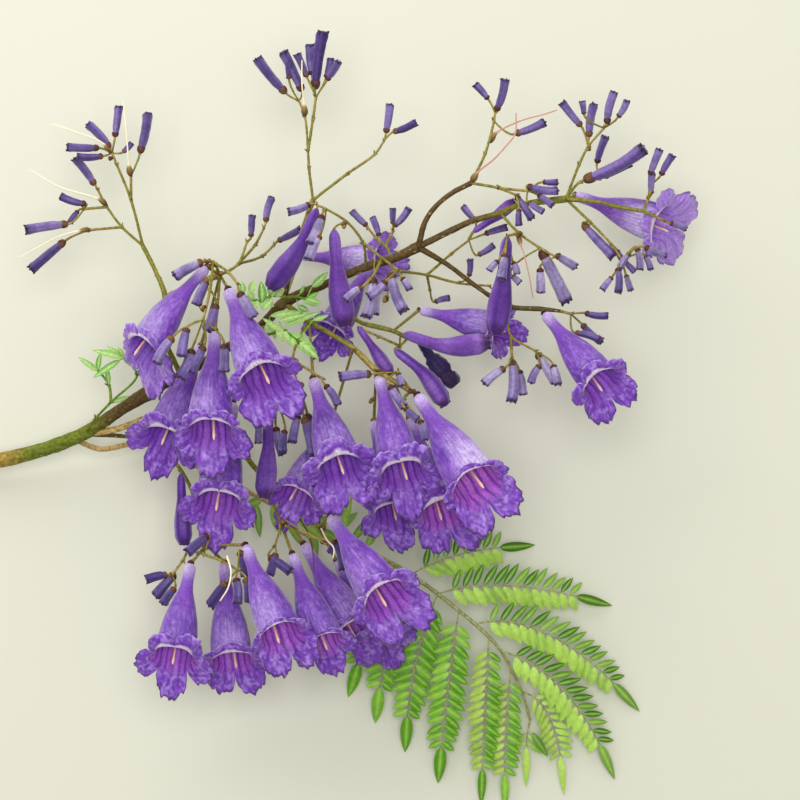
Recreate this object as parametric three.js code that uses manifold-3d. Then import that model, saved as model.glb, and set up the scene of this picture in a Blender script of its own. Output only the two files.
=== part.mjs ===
// A cut flowering branch of jacaranda that lies on the ground, seen from straight above.
// X runs to the right of the picture, Y to its top and Z up from the ground, in millimetres.
import * as THREE from 'three';
import { mergeVertices } from 'three/addons/utils/BufferGeometryUtils.js';
import Module from 'manifold-3d';

const wasm = await Module();
wasm.setup();

// A place is [u, v, height]: a point of the 800 x 800 picture and its height over the ground.
// The picture is taken from straight above its middle, so what is higher looks larger.
const PICTURE_MIDDLE = 400;
const VIEW_HEIGHT = 1000;
const GROUND_SCALE = 0.3723;
const MIDDLE_X = -32.294;
const MIDDLE_Y = -12.45;

// Driving sizes
const GAP = 0.3;
const FINEST_DETAIL = 0.08;
const FINEST_STEP = 0.001;
const CUT_RADIUS = 3.0;
const LIMB_STEP = 20;
const STEEP = 0.9;
const STALK_RADIUS = 0.55;
const STALK_ROOT_RADIUS = 0.3;
const TWIG_RADIUS = 0.75;
const TWIG_TAPER = 0.06;
const STEM_SIDES = 8;
const BOUGH_SIDES = 5;
const FULL_BUD_SIDES = 6;
const BUD_SIDES = 4;
const TWIG_SIDES = 3;
const BUD_SLIMNESS = 0.145;
const BUD_LEAST_RADIUS = 1.1;
const BUD_FOOT = 0.5;
const BUD_FULLEST = 0.85;
const BUD_RISE = 2.5;
const BUD_TILT = 0.36;

// A full bud's widths along it, and its greatest radius, as shares of its length
const FULL_BUD_PROFILE = [[0, 0.4], [0.12, 0.52], [0.36, 0.56], [0.66, 1], [0.9, 0.95], [1, 0.8]];
const FULL_BUD_SLIMNESS = 0.137;

// The corolla of an open flower, at size 1
const TUBE_LENGTH = 38;
const BELL_RADIUS = 7.5;
const BELL_FLATNESS = 0.8;
const BELL_BOW = 1.6;
const LIP_SET_BACK = 0.1;
const MOUTH_SHARE = 0.91;
const LOWER_LOBE = { length: 13.2, start: 0.05, turn: 0.3 };
const UPPER_LOBE = { length: 6.5, start: 1.2, turn: 2 };
const SIDE_LOBE_LESS = 5;
const LOBE_NOTCH = 0.15;
const HALF_LOBE = Math.PI / 5;
const WALL = 1.1;
const THROAT_DEPTH = 0.42;
const FLOWER_SIDES = 10;
const BELL_PROFILE = [[0, 0.2], [0.08, 0.29], [0.3, 0.36], [0.62, 0.85], [1, 1]];

// The big leaf
const LEAFLET_PITCH = 11.4;
const LEAFLET_LENGTH = 10;
const LEAFLET_ANGLE = 0.95;
const LEAFLET_BELLY = 1.1;
const LEAFLET_BELLY_PLACE = 0.5;
const LEAFLET_SWEEP = 3;
const LEAFLET_DROOP = 0.12;
const END_LEAFLET_LENGTH = 15;
const END_LEAFLET_HALF_WIDTH = 2;
const END_LEAFLET_BELLY_PLACE = 0.4;
const PINNA_SWELL = { start: 0.22, span: 0.66 };
const BLADE_THICKNESS = 0.8;
const RIB_HALF_WIDTH = 0.5;

// The leaflets of the young leaves
const YOUNG_LEAFLET_ROOT = 0.6;
const YOUNG_LEAFLET_WIDTH = 0.34;
const YOUNG_LEAFLET_LEAST_WIDTH = 1.6;
const YOUNG_LEAFLET_THICKNESS = 0.9;
const YOUNG_LEAFLET_WIDEST = 0.45;

const material = (colour, roughness) =>
  new THREE.MeshStandardMaterial({ color: colour, roughness, metalness: 0 });
const BARK = material(0x6a5a35, 0.8);
const GREEN_BARK = material(0x87863f, 0.7);
const BLOOM = material(0x7a50b9, 0.6);
const BUDS = material(0x8270b4, 0.6);
const LEAF = material(0x5aa028, 0.55);
const YOUNG_LEAF = material(0x96c86e, 0.55);

// Forks and tips of the limbs
const CUT_END = [-60, 468, CUT_RADIUS];
const STEM_LOW = [83, 434, 21];
const STEM_KNOT = [147, 394, 30];
const STEM_LEFT = [181, 376, 35];
const STEM_MIDDLE = [262, 325, 46];
const STEM_FORK = [284, 303, 49];
const STEM_ARCH = [366, 267, 54];
const CROOK_FORK = [418, 247, 57];
const HANGING_FORK = [500, 213, 59];
const TIP_FORK = [566, 199, 60];
const TOP_LEFT_FORK = [165, 297, 50];
const TOP_LEFT_TIP = [143, 246, 46];
const COLUMN_TIP = [220, 275, 62];
const TOP_TIP = [313, 200, 60];
const CROOK_TIP = [471, 183, 63];
const LOW_RIGHT_KNOT = [508, 306, 54];
const LOW_RIGHT_END = [541, 309, 56];
const LOW_RIGHT_TIP = [560, 311, 57];
const MIDDLE_START = [309, 321, 56];
const MIDDLE_KNOT = [353, 348, 60];
const MIDDLE_NODE = [376, 370, 62];
const MIDDLE_BEND = [394, 381, 63];
const MIDDLE_TIP = [411, 391, 63];
const INNER_NODE = [393, 331, 48];
const INNER_TIP = [408, 338, 48];
const LOWER_NODE = [262, 475, 32];
const LOWER_BEND = [304, 501, 37];
const LOWER_TIP = [320, 527, 48];
const LOWER_LEFT_TIP = [206, 545, 47];
const TIP_BRANCH = [620, 207, 63];
const TIP_END = [643, 211, 64];

// Limbs: a route, with the radius at each of its places or at its two ends
const LIMBS = [
  {
    name: 'main_stem', colour: BARK, sides: STEM_SIDES, square: true,
    route: [CUT_END, [0, 460, 11], [45, 449, 16], STEM_LOW, [125, 407, 27], STEM_KNOT, [163, 385, 32],
      STEM_LEFT, [225, 349, 42], STEM_MIDDLE, STEM_FORK, [328, 283, 52], STEM_ARCH, [392, 259, 55],
      CROOK_FORK],
    radii: [CUT_RADIUS, 2.75, 2.6, 2.5, 2.2, 2.7, 1.8, 1.75, 1.65, 1.6, 2.1, 1.35, 1.5, 1.5, 1.9],
  },
  {
    name: 'outer_stem', colour: BARK, sides: STEM_SIDES,
    route: [CROOK_FORK, [470, 222, 58], HANGING_FORK, [520, 205, 59], TIP_FORK],
    radii: [1.15, 1.1, 1.05, 0.95, 1.35],
  },
  {
    name: 'top_left_bough', colour: GREEN_BARK, sides: BOUGH_SIDES,
    route: [STEM_LEFT, [160, 325, 46], TOP_LEFT_FORK, [155, 270, 48], TOP_LEFT_TIP],
    radii: [1.0, 0.9, 1.0, 0.75, 0.8],
  },
  {
    name: 'left_column_bough', colour: GREEN_BARK, sides: BOUGH_SIDES,
    route: [TOP_LEFT_FORK, [190, 285, 56], COLUMN_TIP], radii: [0.8, 0.75, 1.3],
  },
  {
    name: 'top_bough', colour: BARK, sides: BOUGH_SIDES,
    route: [STEM_FORK, [287, 285, 52], [306, 219, 58], TOP_TIP], radii: [1.0, 0.9, 0.75, 1.1],
  },
  {
    name: 'crook_bough', colour: BARK, sides: BOUGH_SIDES,
    route: [CROOK_FORK, [420, 240, 58], [425, 222, 60], [436, 206, 61], [452, 193, 62], CROOK_TIP],
    radii: [1.2, 1.1, 0.9, 0.85, 0.85, 1.0],
  },
  {
    name: 'low_right_bough', colour: BARK, sides: BOUGH_SIDES,
    route: [CROOK_FORK, [448, 265, 55], [480, 289, 53], LOW_RIGHT_KNOT, LOW_RIGHT_END, LOW_RIGHT_TIP],
    radii: [1.1, 0.85, 0.8, 0.85, 0.9, 0.6],
  },
  {
    name: 'middle_bough', colour: GREEN_BARK, sides: BOUGH_SIDES,
    route: [STEM_FORK, MIDDLE_START, [331, 334, 58], MIDDLE_KNOT, MIDDLE_NODE, MIDDLE_BEND, MIDDLE_TIP],
    radii: [1.0, 0.9, 0.85, 1.0, 1.1, 0.9, 0.9],
  },
  {
    name: 'inner_bough', colour: GREEN_BARK, sides: BOUGH_SIDES,
    route: [[328, 283, 52], [341, 306, 46], [360, 322, 46], [378, 327, 47], INNER_NODE, INNER_TIP],
    radii: [0.8, 0.75, 0.75, 0.85, 0.8, 0.8],
  },
  {
    name: 'lower_bough', colour: GREEN_BARK, sides: BOUGH_SIDES,
    route: [STEM_LOW, [117, 429, 24], [149, 417, 26], [182, 407, 28], [228, 435, 30], LOWER_NODE,
      LOWER_BEND, LOWER_TIP],
    radii: [1.3, 1.15, 1.1, 1.0, 0.95, 0.95, 0.85, 0.85],
  },
  {
    name: 'lower_left_bough', colour: BARK, sides: BOUGH_SIDES,
    route: [STEM_LOW, [130, 437, 22], [155, 443, 26], [188, 482, 36], LOWER_LEFT_TIP],
    radii: [0.85, 0.7, 0.65, 0.65, 0.8],
  },
  {
    name: 'tip_bough', colour: GREEN_BARK, sides: BOUGH_SIDES,
    route: [TIP_FORK, [598, 202, 62], TIP_BRANCH, TIP_END], radii: [0.9, 0.65, 0.75, 0.6],
  },
];

// Open flowers: where the stalk leaves its limb, the foot of the corolla, and the middle of its mouth.
// With half the five lobes are turned by half a lobe, so that two hang down in place of one.
const FLOWERS = [
  { name: 'flower_left_1', from: COLUMN_TIP, foot: [207, 267, 66], mouth: [148, 347, 76], roll: 0.8 },
  { name: 'flower_left_2', from: COLUMN_TIP, foot: [228, 289, 68], mouth: [262, 375, 87], half: true },
  { name: 'flower_left_3', from: COLUMN_TIP, foot: [215, 331, 64], mouth: [211, 427, 78] },
  { name: 'flower_left_4', from: COLUMN_TIP, foot: [201, 345, 46], mouth: [168, 433, 54] },
  { name: 'flower_left_5', from: STEM_MIDDLE, foot: [233, 402, 42], mouth: [219, 498, 56] },
  { name: 'flower_middle_1', from: MIDDLE_NODE, foot: [379, 375, 61], mouth: [401, 468, 73] },
  { name: 'flower_middle_2', from: MIDDLE_TIP, foot: [417, 395, 68], mouth: [473, 480, 87], half: true },
  { name: 'flower_middle_3', from: MIDDLE_BEND, foot: [409, 418, 44], mouth: [441, 507, 58], half: true },
  { name: 'flower_middle_4', from: MIDDLE_NODE, foot: [374, 420, 40], mouth: [393, 508, 50] },
  { name: 'flower_middle_5', from: MIDDLE_START, foot: [313, 378, 60], mouth: [339, 464, 76], half: true },
  { name: 'flower_middle_6', from: MIDDLE_KNOT, foot: [332, 420, 42], mouth: [298, 492, 50] },
  { name: 'flower_lower_1', from: LOWER_LEFT_TIP, foot: [191, 563, 50], mouth: [175, 652, 62] },
  { name: 'flower_lower_2', from: LOWER_LEFT_TIP, foot: [224, 562, 38], mouth: [232, 655, 46], half: true },
  { name: 'flower_lower_3', from: LOWER_LEFT_TIP, foot: [245, 545, 58], mouth: [279, 630, 72], half: true },
  { name: 'flower_lower_4', from: LOWER_NODE, foot: [292, 553, 48], mouth: [322, 638, 56] },
  { name: 'flower_lower_5', from: LOWER_NODE, foot: [303, 543, 34], mouth: [352, 624, 40] },
  { name: 'flower_lower_6', from: LOWER_TIP, foot: [330, 515, 62], mouth: [383, 594, 80], half: true },
  { name: 'flower_lower_7', from: LOWER_BEND, foot: [336, 560, 22], mouth: [379, 636, 27] },
  { name: 'flower_right_1', from: LOW_RIGHT_END, foot: [544, 313, 58], mouth: [598, 380, 70], half: true },
  {
    name: 'flower_right_2', from: TIP_FORK, foot: [575, 195, 44], mouth: [658, 224, 53], roll: 0.15,
    half: true,
  },
  { name: 'flower_inner_1', from: INNER_NODE, foot: [419, 310, 43], mouth: [503, 330, 44], size: 0.8 },
  { name: 'flower_back_1', from: STEM_FORK, foot: [300, 256, 13], mouth: [382, 262, 13], size: 0.8 },
  { name: 'flower_back_2', from: STEM_ARCH, foot: [372, 262, 30], mouth: [337, 322, 32], size: 0.8 },
];

// Masses: each fork has a route, each bud its foot and its tip in the picture, and some a height.
// A full bud is as large as a flower, still closed and curved through a third place.
const MASSES = [
  {
    name: 'top_left_side_spray',
    twigs: [[TOP_LEFT_TIP, [122, 227, 46], [107, 207, 47], [98, 190, 48]], [[122, 227, 46], [90, 230, 44]],
      [[107, 207, 47], [84, 209, 46]]],
    buds: [[95, 185, 75, 158], [68, 224, 25, 230], [65, 241, 31, 270], [86, 204, 60, 196],
      [78, 211, 70, 223]],
  },
  {
    name: 'top_left_upper_spray',
    twigs: [[TOP_LEFT_TIP, [131, 200, 50], [117, 165, 52], [112, 153, 52]], [[131, 200, 50], [130, 177, 51]]],
    buds: [[99, 148, 67, 147], [103, 156, 77, 157], [110, 148, 88, 124], [115, 137, 119, 106],
      [123, 152, 132, 143], [140, 153, 148, 113]],
  },
  {
    name: 'top_spray',
    twigs: [[TOP_TIP, [309, 168, 61], [308, 151, 62], [305, 117, 63], [299, 101, 63]],
      [[308, 151, 62], [313, 119, 63], [316, 97, 63]], [TOP_TIP, [347, 174, 61], [375, 154, 62],
      [384, 141, 62]]],
    buds: [[286, 93, 257, 58], [289, 79, 289, 60], [302, 91, 283, 51], [307, 77, 297, 54], [315, 89, 323, 31],
      [312, 75, 310, 44], [326, 78, 331, 58], [327, 80, 339, 61], [386, 133, 390, 104], [393, 132, 416, 122]],
  },
  {
    name: 'arch_spray',
    twigs: [[STEM_ARCH, [363, 243, 60], [347, 222, 64], [326, 209, 66], [317, 205, 66]],
      [[363, 243, 60], [382, 258, 60], [398, 270, 59]]],
    buds: [[310, 204, 288, 212], [322, 215, 310, 245, 74], [320, 235, 308, 260, 76], [362, 287, 345, 300, 76],
      [391, 273, 404, 312], [402, 278, 410, 290], [373, 278, 366, 318, 66], [386, 281, 368, 297, 70],
      [378, 290, 375, 315, 60]],
    full: [[[317, 209, 67], [300, 246, 68], [270, 288, 64]], [[334, 230, 66], [338, 280, 66],
      [345, 326, 64]]],
  },
  {
    name: 'crook_spray',
    twigs: [[CROOK_TIP, [485, 154, 64], [494, 121, 64], [495, 113, 64]], [CROOK_TIP, [498, 188, 64],
      [516, 195, 64]],
      [[498, 188, 64], [528, 191, 65]]],
    buds: [[488, 99, 475, 84], [496, 111, 505, 79], [515, 134, 545, 122], [527, 186, 558, 191],
      [543, 182, 558, 182],
      [516, 196, 532, 219], [528, 202, 544, 212], [538, 195, 553, 206], [519, 209, 519, 226, 65]],
  },
  {
    name: 'tip_upper_spray',
    twigs: [[TIP_FORK, [579, 165, 62], [588, 147, 63], [604, 128, 64]]],
    buds: [[581, 126, 562, 102], [584, 114, 582, 101], [589, 137, 594, 104], [607, 124, 614, 92],
      [618, 117, 627, 100]],
  },
  {
    name: 'tip_middle_spray',
    twigs: [[TIP_FORK, [580, 182, 63], [601, 179, 64]]],
    buds: [[597, 163, 606, 136], [584, 180, 645, 148, 64], [604, 177, 631, 163]],
  },
  {
    name: 'tip_end_spray',
    twigs: [[TIP_END, [652, 215, 64], [662, 220, 64]], [TIP_END, [648, 199, 65]], [[648, 199, 65],
      [652, 184, 65]]],
    buds: [[670, 223, 686, 229], [651, 194, 652, 173], [650, 175, 660, 149], [661, 175, 673, 155]],
  },
  {
    name: 'tip_hanging_spray',
    twigs: [[TIP_FORK, [590, 222, 60], [611, 244, 60], [622, 260, 60]]],
    buds: [[617, 250, 625, 262], [630, 253, 620, 268], [637, 248, 640, 270], [645, 256, 651, 270],
      [645, 247, 666, 256, 67],
      [618, 268, 618, 293], [612, 277, 602, 290], [626, 275, 631, 291], [625, 262, 635, 272],
      [583, 224, 614, 257, 57]],
  },
  {
    name: 'hanging_cluster',
    twigs: [[HANGING_FORK, [519, 233, 62], [540, 248, 63], [556, 257, 63]], [[519, 233, 62], [507, 236, 66]]],
    buds: [[541, 250, 567, 302], [556, 255, 576, 267], [540, 268, 541, 293], [505, 254, 501, 280, 76],
      [513, 262, 517, 274], [512, 276, 520, 283, 60], [498, 261, 489, 271, 74]],
    full: [[[507, 237, 66], [502, 290, 68], [495, 334, 66]]],
  },
  {
    name: 'hanging_spray',
    twigs: [[LOW_RIGHT_KNOT, [508, 325, 54], [511, 336, 54], [535, 351, 54]], [[511, 336, 54],
      [512, 358, 54]]],
    buds: [[537, 353, 556, 383], [540, 365, 531, 383], [553, 365, 558, 385], [512, 360, 512, 402],
      [519, 370, 523, 395],
      [505, 368, 484, 384]],
  },
  {
    name: 'low_right_spray',
    twigs: [[LOW_RIGHT_TIP, [571, 314, 57]]],
    buds: [[585, 313, 608, 316], [582, 324, 602, 342], [575, 333, 600, 340]],
  },
  {
    name: 'inner_cluster',
    twigs: [[INNER_TIP, [420, 342, 46]], [INNER_TIP, [400, 346, 50]],
      [[400, 346, 50], [380, 337, 51], [362, 329, 51]]],
    buds: [[420, 342, 455, 386, 42]],
    full: [[[404, 334, 54], [446, 346, 56], [489, 343, 54]], [[395, 350, 52], [424, 374, 52],
      [446, 405, 50]], [[358, 327, 51], [371, 345, 51], [391, 375, 50]]],
  },
  {
    name: 'left_column_buds',
    twigs: [[COLUMN_TIP, [213, 262, 68], [206, 261, 70]], [[213, 262, 68], [210, 290, 82], [203, 320, 88]],
      [[213, 262, 68], [228, 272, 78], [238, 284, 83]]],
    buds: [[203, 262, 174, 277, 72], [208, 279, 196, 305, 78], [216, 304, 206, 330, 80],
      [173, 337, 156, 364, 88],
      [192, 349, 180, 378, 84], [204, 346, 190, 372, 84], [224, 344, 224, 372, 84], [239, 292, 254, 317, 84],
      [187, 328, 181, 357, 88]],
  },
  {
    name: 'middle_buds',
    twigs: [[MIDDLE_START, [296, 345, 62], [293, 360, 63], [299, 392, 66]], [[293, 360, 63], [323, 379, 68]],
      [[299, 392, 66], [278, 405, 62]]],
    buds: [[307, 414, 312, 454, 56], [304, 417, 314, 455, 66], [298, 415, 292, 443], [285, 430, 283, 452],
      [276, 427, 283, 455, 58], [259, 424, 259, 443], [325, 385, 338, 405, 78]],
    full: [[[268, 414, 58], [268, 455, 58], [264, 498, 58]]],
  },
  {
    name: 'middle_right_buds',
    twigs: [[MIDDLE_TIP, [404, 400, 72], [413, 412, 78]], [MIDDLE_TIP, [398, 372, 66]]],
    buds: [[371, 374, 339, 377, 70], [390, 385, 405, 407, 76], [405, 408, 418, 420, 80],
      [420, 420, 426, 440, 79],
      [398, 373, 402, 386, 70]],
  },
  {
    name: 'lower_row_buds',
    twigs: [[LOWER_NODE, [270, 499, 42], [280, 523, 50], [275, 546, 58]], [[280, 523, 50],
      [308, 536, 56], [332, 541, 57]]],
    buds: [[269, 557, 291, 572], [276, 553, 270, 575], [336, 539, 344, 570], [335, 541, 330, 553]],
  },
  {
    name: 'lower_left_buds',
    twigs: [[LOWER_LEFT_TIP, [204, 554, 58], [222, 561, 62], [238, 570, 62]],
      [[190, 546, 40], [183, 560, 41], [172, 575, 42]],
      [[204, 554, 58], [190, 546, 40], [185, 515, 38], [181, 472, 42]]],
    buds: [[167, 575, 146, 580], [175, 574, 155, 596], [175, 588, 163, 604], [226, 582, 210, 606],
      [236, 578, 237, 604],
      [246, 578, 249, 602], [240, 551, 246, 576], [208, 535, 187, 553]],
    full: [[[181, 474, 45], [182, 508, 46], [184, 545, 46]]],
  },
  {
    name: 'back_left_spray',
    twigs: [[COLUMN_TIP, [238, 264, 50], [247, 242, 40]], [[238, 264, 50], [255, 245, 38], [264, 228, 34]],
      [[238, 264, 50], [262, 256, 34], [274, 245, 28]]],
    buds: [[266, 222, 272, 197], [251, 237, 252, 215], [278, 241, 301, 229]],
  },
  {
    name: 'back_middle_spray',
    twigs: [[[392, 259, 55], [386, 246, 44], [376, 238, 38], [369, 229, 34]], [[386, 246, 44],
      [393, 231, 36]]],
    buds: [[367, 226, 352, 211], [379, 236, 372, 217], [393, 224, 393, 208], [394, 226, 409, 208]],
  },
  {
    name: 'back_right_spray',
    twigs: [[[399, 271, 58.5], [427, 275, 50], [458, 283, 46], [490, 286, 44]],
      [[427, 275, 50], [451, 254, 46], [469, 240, 44]], [[427, 275, 50], [430, 290, 40]]],
    buds: [[475, 220, 463, 206], [485, 234, 507, 227], [478, 255, 494, 245], [469, 276, 470, 259],
      [435, 302, 450, 298]],
    full: [[[473, 232, 44], [495, 217, 45], [515, 201, 46]]],
  },
];

// The big leaf: its stalk, the rib that goes on from it, and each pinna by its place on the rib, middle
// and tip
const LEAF_STALK = {
  route: [[76, 440, 17], [100, 449, 14], [143, 444, 12], [220, 478, 12], [310, 524, 14]],
  radii: [1.2, 1.1, 1.05, 1.0, 0.95],
};
const LEAF_RIB = {
  route: [[395, 565, 18], [411, 575, 18.5], [438, 594, 19], [459, 611, 18.5], [475, 624, 18], [489, 637, 17],
    [501, 651, 15], [511, 669, 12], [522, 692, 9], [530, 720, 5]],
  radii: [0.9, 0.88, 0.85, 0.82, 0.8, 0.75, 0.7, 0.65, 0.6, 0.5],
};
const PINNAE = [
  [1, [450, 548, 20], [536, 545, 1]],
  [2, [500, 572, 20], [613, 606, 1]],
  [4, [550, 606, 18], [640, 712, 1]],
  [6, [575, 672, 15], [615, 780, 1]],
  [8, [560, 700, 10], [564, 796, 1]],
  [0, [372, 620, 17], [348, 698, 1]],
  [1, [384, 640, 18], [375, 724, 1]],
  [2, [408, 660, 18], [405, 753, 1]],
  [3, [446, 690, 18], [438, 784, 1]],
  [5, [484, 720, 16], [481, 806, 1]],
  [7, [503, 740, 12], [505, 812, 1]],
  [9, [524, 745, 5], [526, 788, 1]],
];

// Young leaves: a stalk, and leaflets from the fork near their foot to their tip
const YOUNG_LEAVES = [
  {
    name: 'young_leaf_left',
    twigs: [[STEM_LOW, [96, 418, 32], [111, 402, 36], [137, 375, 38], [124, 358, 38]],
      [[111, 402, 36], [109, 385, 36], [98, 370, 36]]],
    leaflets: [[124, 358, 92, 350], [124, 358, 93, 378], [124, 358, 141, 350], [124, 358, 135, 367],
      [124, 358, 107, 346], [98, 370, 78, 357], [109, 385, 106, 365], [111, 402, 130, 396]],
  },
  {
    name: 'young_leaves_middle',
    twigs: [[STEM_MIDDLE, [268, 334, 55], [284, 331, 60], [298, 341, 62]]],
    leaflets: [[298, 341, 318, 357], [284, 331, 281, 345], [284, 331, 308, 313], [284, 331, 292, 309],
      [298, 341, 321, 316], [298, 341, 329, 318], [298, 341, 286, 353], [268, 334, 259, 345]],
  },
  {
    name: 'young_leaves_upper',
    twigs: [[STEM_FORK, [284, 297, 56], [271, 296, 57], [258, 301, 57], [247, 297, 57]],
      [[284, 297, 56], [296, 297, 59], [306, 299, 61]]],
    leaflets: [[247, 297, 242, 282], [247, 297, 235, 302], [258, 301, 260, 281], [258, 301, 252, 286],
      [271, 297, 271, 284], [271, 297, 280, 285], [306, 299, 328, 272], [306, 299, 317, 283],
      [306, 299, 322, 303]],
  },
];

// A place as a point of the branch
function at([u, v, height]) {
  const scale = GROUND_SCALE * (1 - height / VIEW_HEIGHT);
  const x = (u - PICTURE_MIDDLE) * scale - MIDDLE_X;
  const y = (PICTURE_MIDDLE - v) * scale - MIDDLE_Y;
  return new THREE.Vector3(x, y, height);
}

// Seeded random numbers from 0 to 1, the same each time
function seeded(seed) {
  let state = seed;
  return () => {
    state = (state * 1664525 + 1013904223) % 4294967296;
    return state / 4294967296;
  };
}

function solidFrom(points, faces) {
  const vertProperties = new Float32Array(points.flatMap((point) => point.toArray()));
  const triVerts = new Uint32Array(faces.flat());
  return new wasm.Manifold(new wasm.Mesh({ numProp: 3, vertProperties, triVerts }));
}

// A closed skin over rings of equal counts. Each end is a flat face, or a cone to its pole.
function skin(rings, startPole, endPole) {
  const count = rings[0].length;
  const points = rings.flat();
  const faces = [];
  for (let ring = 0; ring + 1 < rings.length; ring += 1) {
    for (let side = 0; side < count; side += 1) {
      const next = (side + 1) % count;
      const low = ring * count;
      const high = low + count;
      faces.push([low + side, low + next, high + next], [low + side, high + next, high + side]);
    }
  }
  const close = (first, pole, outward) => {
    const fan = (a, b, c) => faces.push(outward ? [a, b, c] : [a, c, b]);
    if (pole) {
      points.push(pole);
      for (let side = 0; side < count; side += 1) {
        fan(first + side, first + (side + 1) % count, points.length - 1);
      }
    } else {
      for (let side = 1; side + 1 < count; side += 1) {
        fan(first, first + side, first + side + 1);
      }
    }
  };
  close(0, startPole, false);
  close((rings.length - 1) * count, endPole, true);
  return solidFrom(points, faces);
}

// A round limb with a radius at each point. A square start stands straight across X, and an end pole
// closes the limb with a cone.
function limb(points, radii, sides, { square = false, endPole = null } = {}) {
  const last = points.length - 1;
  const tangents = points.map((point, index) => {
    const before = points[Math.max(index - 1, 0)];
    const after = points[Math.min(index + 1, last)];
    return after.clone().sub(before).normalize();
  });
  if (square) {
    tangents[0].set(1, 0, 0);
  }
  const reference = new THREE.Vector3(0, 0, 1);
  if (Math.abs(tangents[0].z) > STEEP) {
    reference.set(0, 1, 0);
  }
  const normal = reference;
  const rings = points.map((point, index) => {
    normal.addScaledVector(tangents[index], -normal.dot(tangents[index])).normalize();
    const across = new THREE.Vector3().crossVectors(tangents[index], normal);
    return Array.from({ length: sides }, (_, side) => {
      const angle = (side / sides) * 2 * Math.PI;
      return point.clone()
        .addScaledVector(normal, Math.cos(angle) * radii[index])
        .addScaledVector(across, Math.sin(angle) * radii[index]);
    });
  });
  return skin(rings, null, endPole);
}

// A smooth curve through places, in steps of about LIMB_STEP, with radii that follow it
function smoothLimb(places, radii, sides, grow, square = false) {
  const points = places.map(at);
  const curve = new THREE.CatmullRomCurve3(points, false, 'centripetal');
  const spans = points.length - 1;
  const steps = [];
  const widths = [];
  for (let span = 0; span < spans; span += 1) {
    const count = Math.max(1, Math.round(points[span].distanceTo(points[span + 1]) / LIMB_STEP));
    for (let step = 0; step < count; step += 1) {
      const part = step / count;
      steps.push(curve.getPoint((span + part) / spans));
      widths.push(THREE.MathUtils.lerp(radii[span], radii[span + 1], part) + grow);
    }
  }
  steps.push(points[spans]);
  widths.push(radii[spans] + grow);
  if (square) {
    steps[0].x -= grow;
  }
  return limb(steps, widths, sides, { square });
}

function profile(stations, along) {
  for (let index = 1; index < stations.length; index += 1) {
    const [start, low] = stations[index - 1];
    const [end, high] = stations[index];
    if (along <= end) {
      return THREE.MathUtils.lerp(low, high, (along - start) / (end - start));
    }
  }
  return stations[stations.length - 1][1];
}

// A point of the corolla: turn 0 is the short upper lip, along 0 to 1 the tube, 1 to 2 a lobe.
// It is returned as [side, near, axial] sizes.
function corollaPoint(turn, along, size, lobeTurn, grow) {
  const lerp = THREE.MathUtils.lerp;
  const near = (1 + Math.cos(turn)) / 2;
  const tube = Math.min(along, 1);
  const radius = size * BELL_RADIUS * profile(BELL_PROFILE, tube);
  const point = [
    radius * Math.sin(turn),
    radius * Math.cos(turn) * BELL_FLATNESS + size * BELL_BOW * Math.sin(Math.PI * tube),
    size * TUBE_LENGTH * tube * (1 - LIP_SET_BACK * near * tube * tube),
  ];
  if (along > 1) {
    const crest = Math.sqrt(Math.abs(Math.sin(2.5 * (turn - lobeTurn))));
    const length = lerp(LOWER_LOBE.length, UPPER_LOBE.length, near) - SIDE_LOBE_LESS * Math.sin(turn) ** 2;
    const reach = size * length * lerp(LOBE_NOTCH, 1, crest) + grow;
    const start = lerp(LOWER_LOBE.start, UPPER_LOBE.start, near);
    const bend = lerp(LOWER_LOBE.turn, UPPER_LOBE.turn, near);
    const end = start + bend * (along - 1);
    const out = reach * (Math.cos(start) - Math.cos(end)) / bend;
    point[0] += out * Math.sin(turn);
    point[1] += out * Math.cos(turn);
    point[2] += reach * (Math.sin(end) - Math.sin(start)) / bend;
  }
  return point;
}

// An open flower: a hollow bell with two small upper and three long lower lobes, on its stalk
function flower({ from, foot, mouth, size: given, roll = 0, half = false }, grow) {
  const base = at(foot);
  const toMouth = at(mouth).sub(base);
  const size = given ?? toMouth.length() / (TUBE_LENGTH * MOUTH_SHARE);
  const lobeTurn = half ? HALF_LOBE : 0;
  const axis = toMouth.normalize();
  const near = new THREE.Vector3(0, 0, 1).applyAxisAngle(axis, roll);
  near.addScaledVector(axis, -near.dot(axis)).normalize();
  const side = new THREE.Vector3().crossVectors(axis, near);
  const sides = FLOWER_SIDES;
  const place = ([across, up, axial]) => base.clone()
    .addScaledVector(side, across).addScaledVector(near, up).addScaledVector(axis, axial);
  const ringAt = (along, offset) => Array.from({ length: sides }, (_, index) => {
    const turn = (index / sides) * 2 * Math.PI;
    const small = 0.01;
    const pointAt = (round, ahead) => place(corollaPoint(turn + round, along + ahead, size, lobeTurn, grow));
    const here = pointAt(0, 0);
    const around = pointAt(small, 0).sub(pointAt(-small, 0));
    const forward = here.clone().sub(pointAt(0, -small));
    const outward = new THREE.Vector3().crossVectors(around, forward).normalize();
    return here.addScaledVector(outward, offset);
  });
  const stalkStart = at(from);
  const stalk = ringRound(stalkStart, base.clone().sub(stalkStart).normalize(), near, sides, grow);
  const outer = BELL_PROFILE.slice(1).map(([along]) => ringAt(along, grow));
  const throat = place([0, size * BELL_BOW, size * TUBE_LENGTH * THROAT_DEPTH - grow]);
  return [skin([stalk, ...outer, ringAt(2, -WALL / 2), ringAt(1, -WALL - grow)], null, throat)];
}

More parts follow.
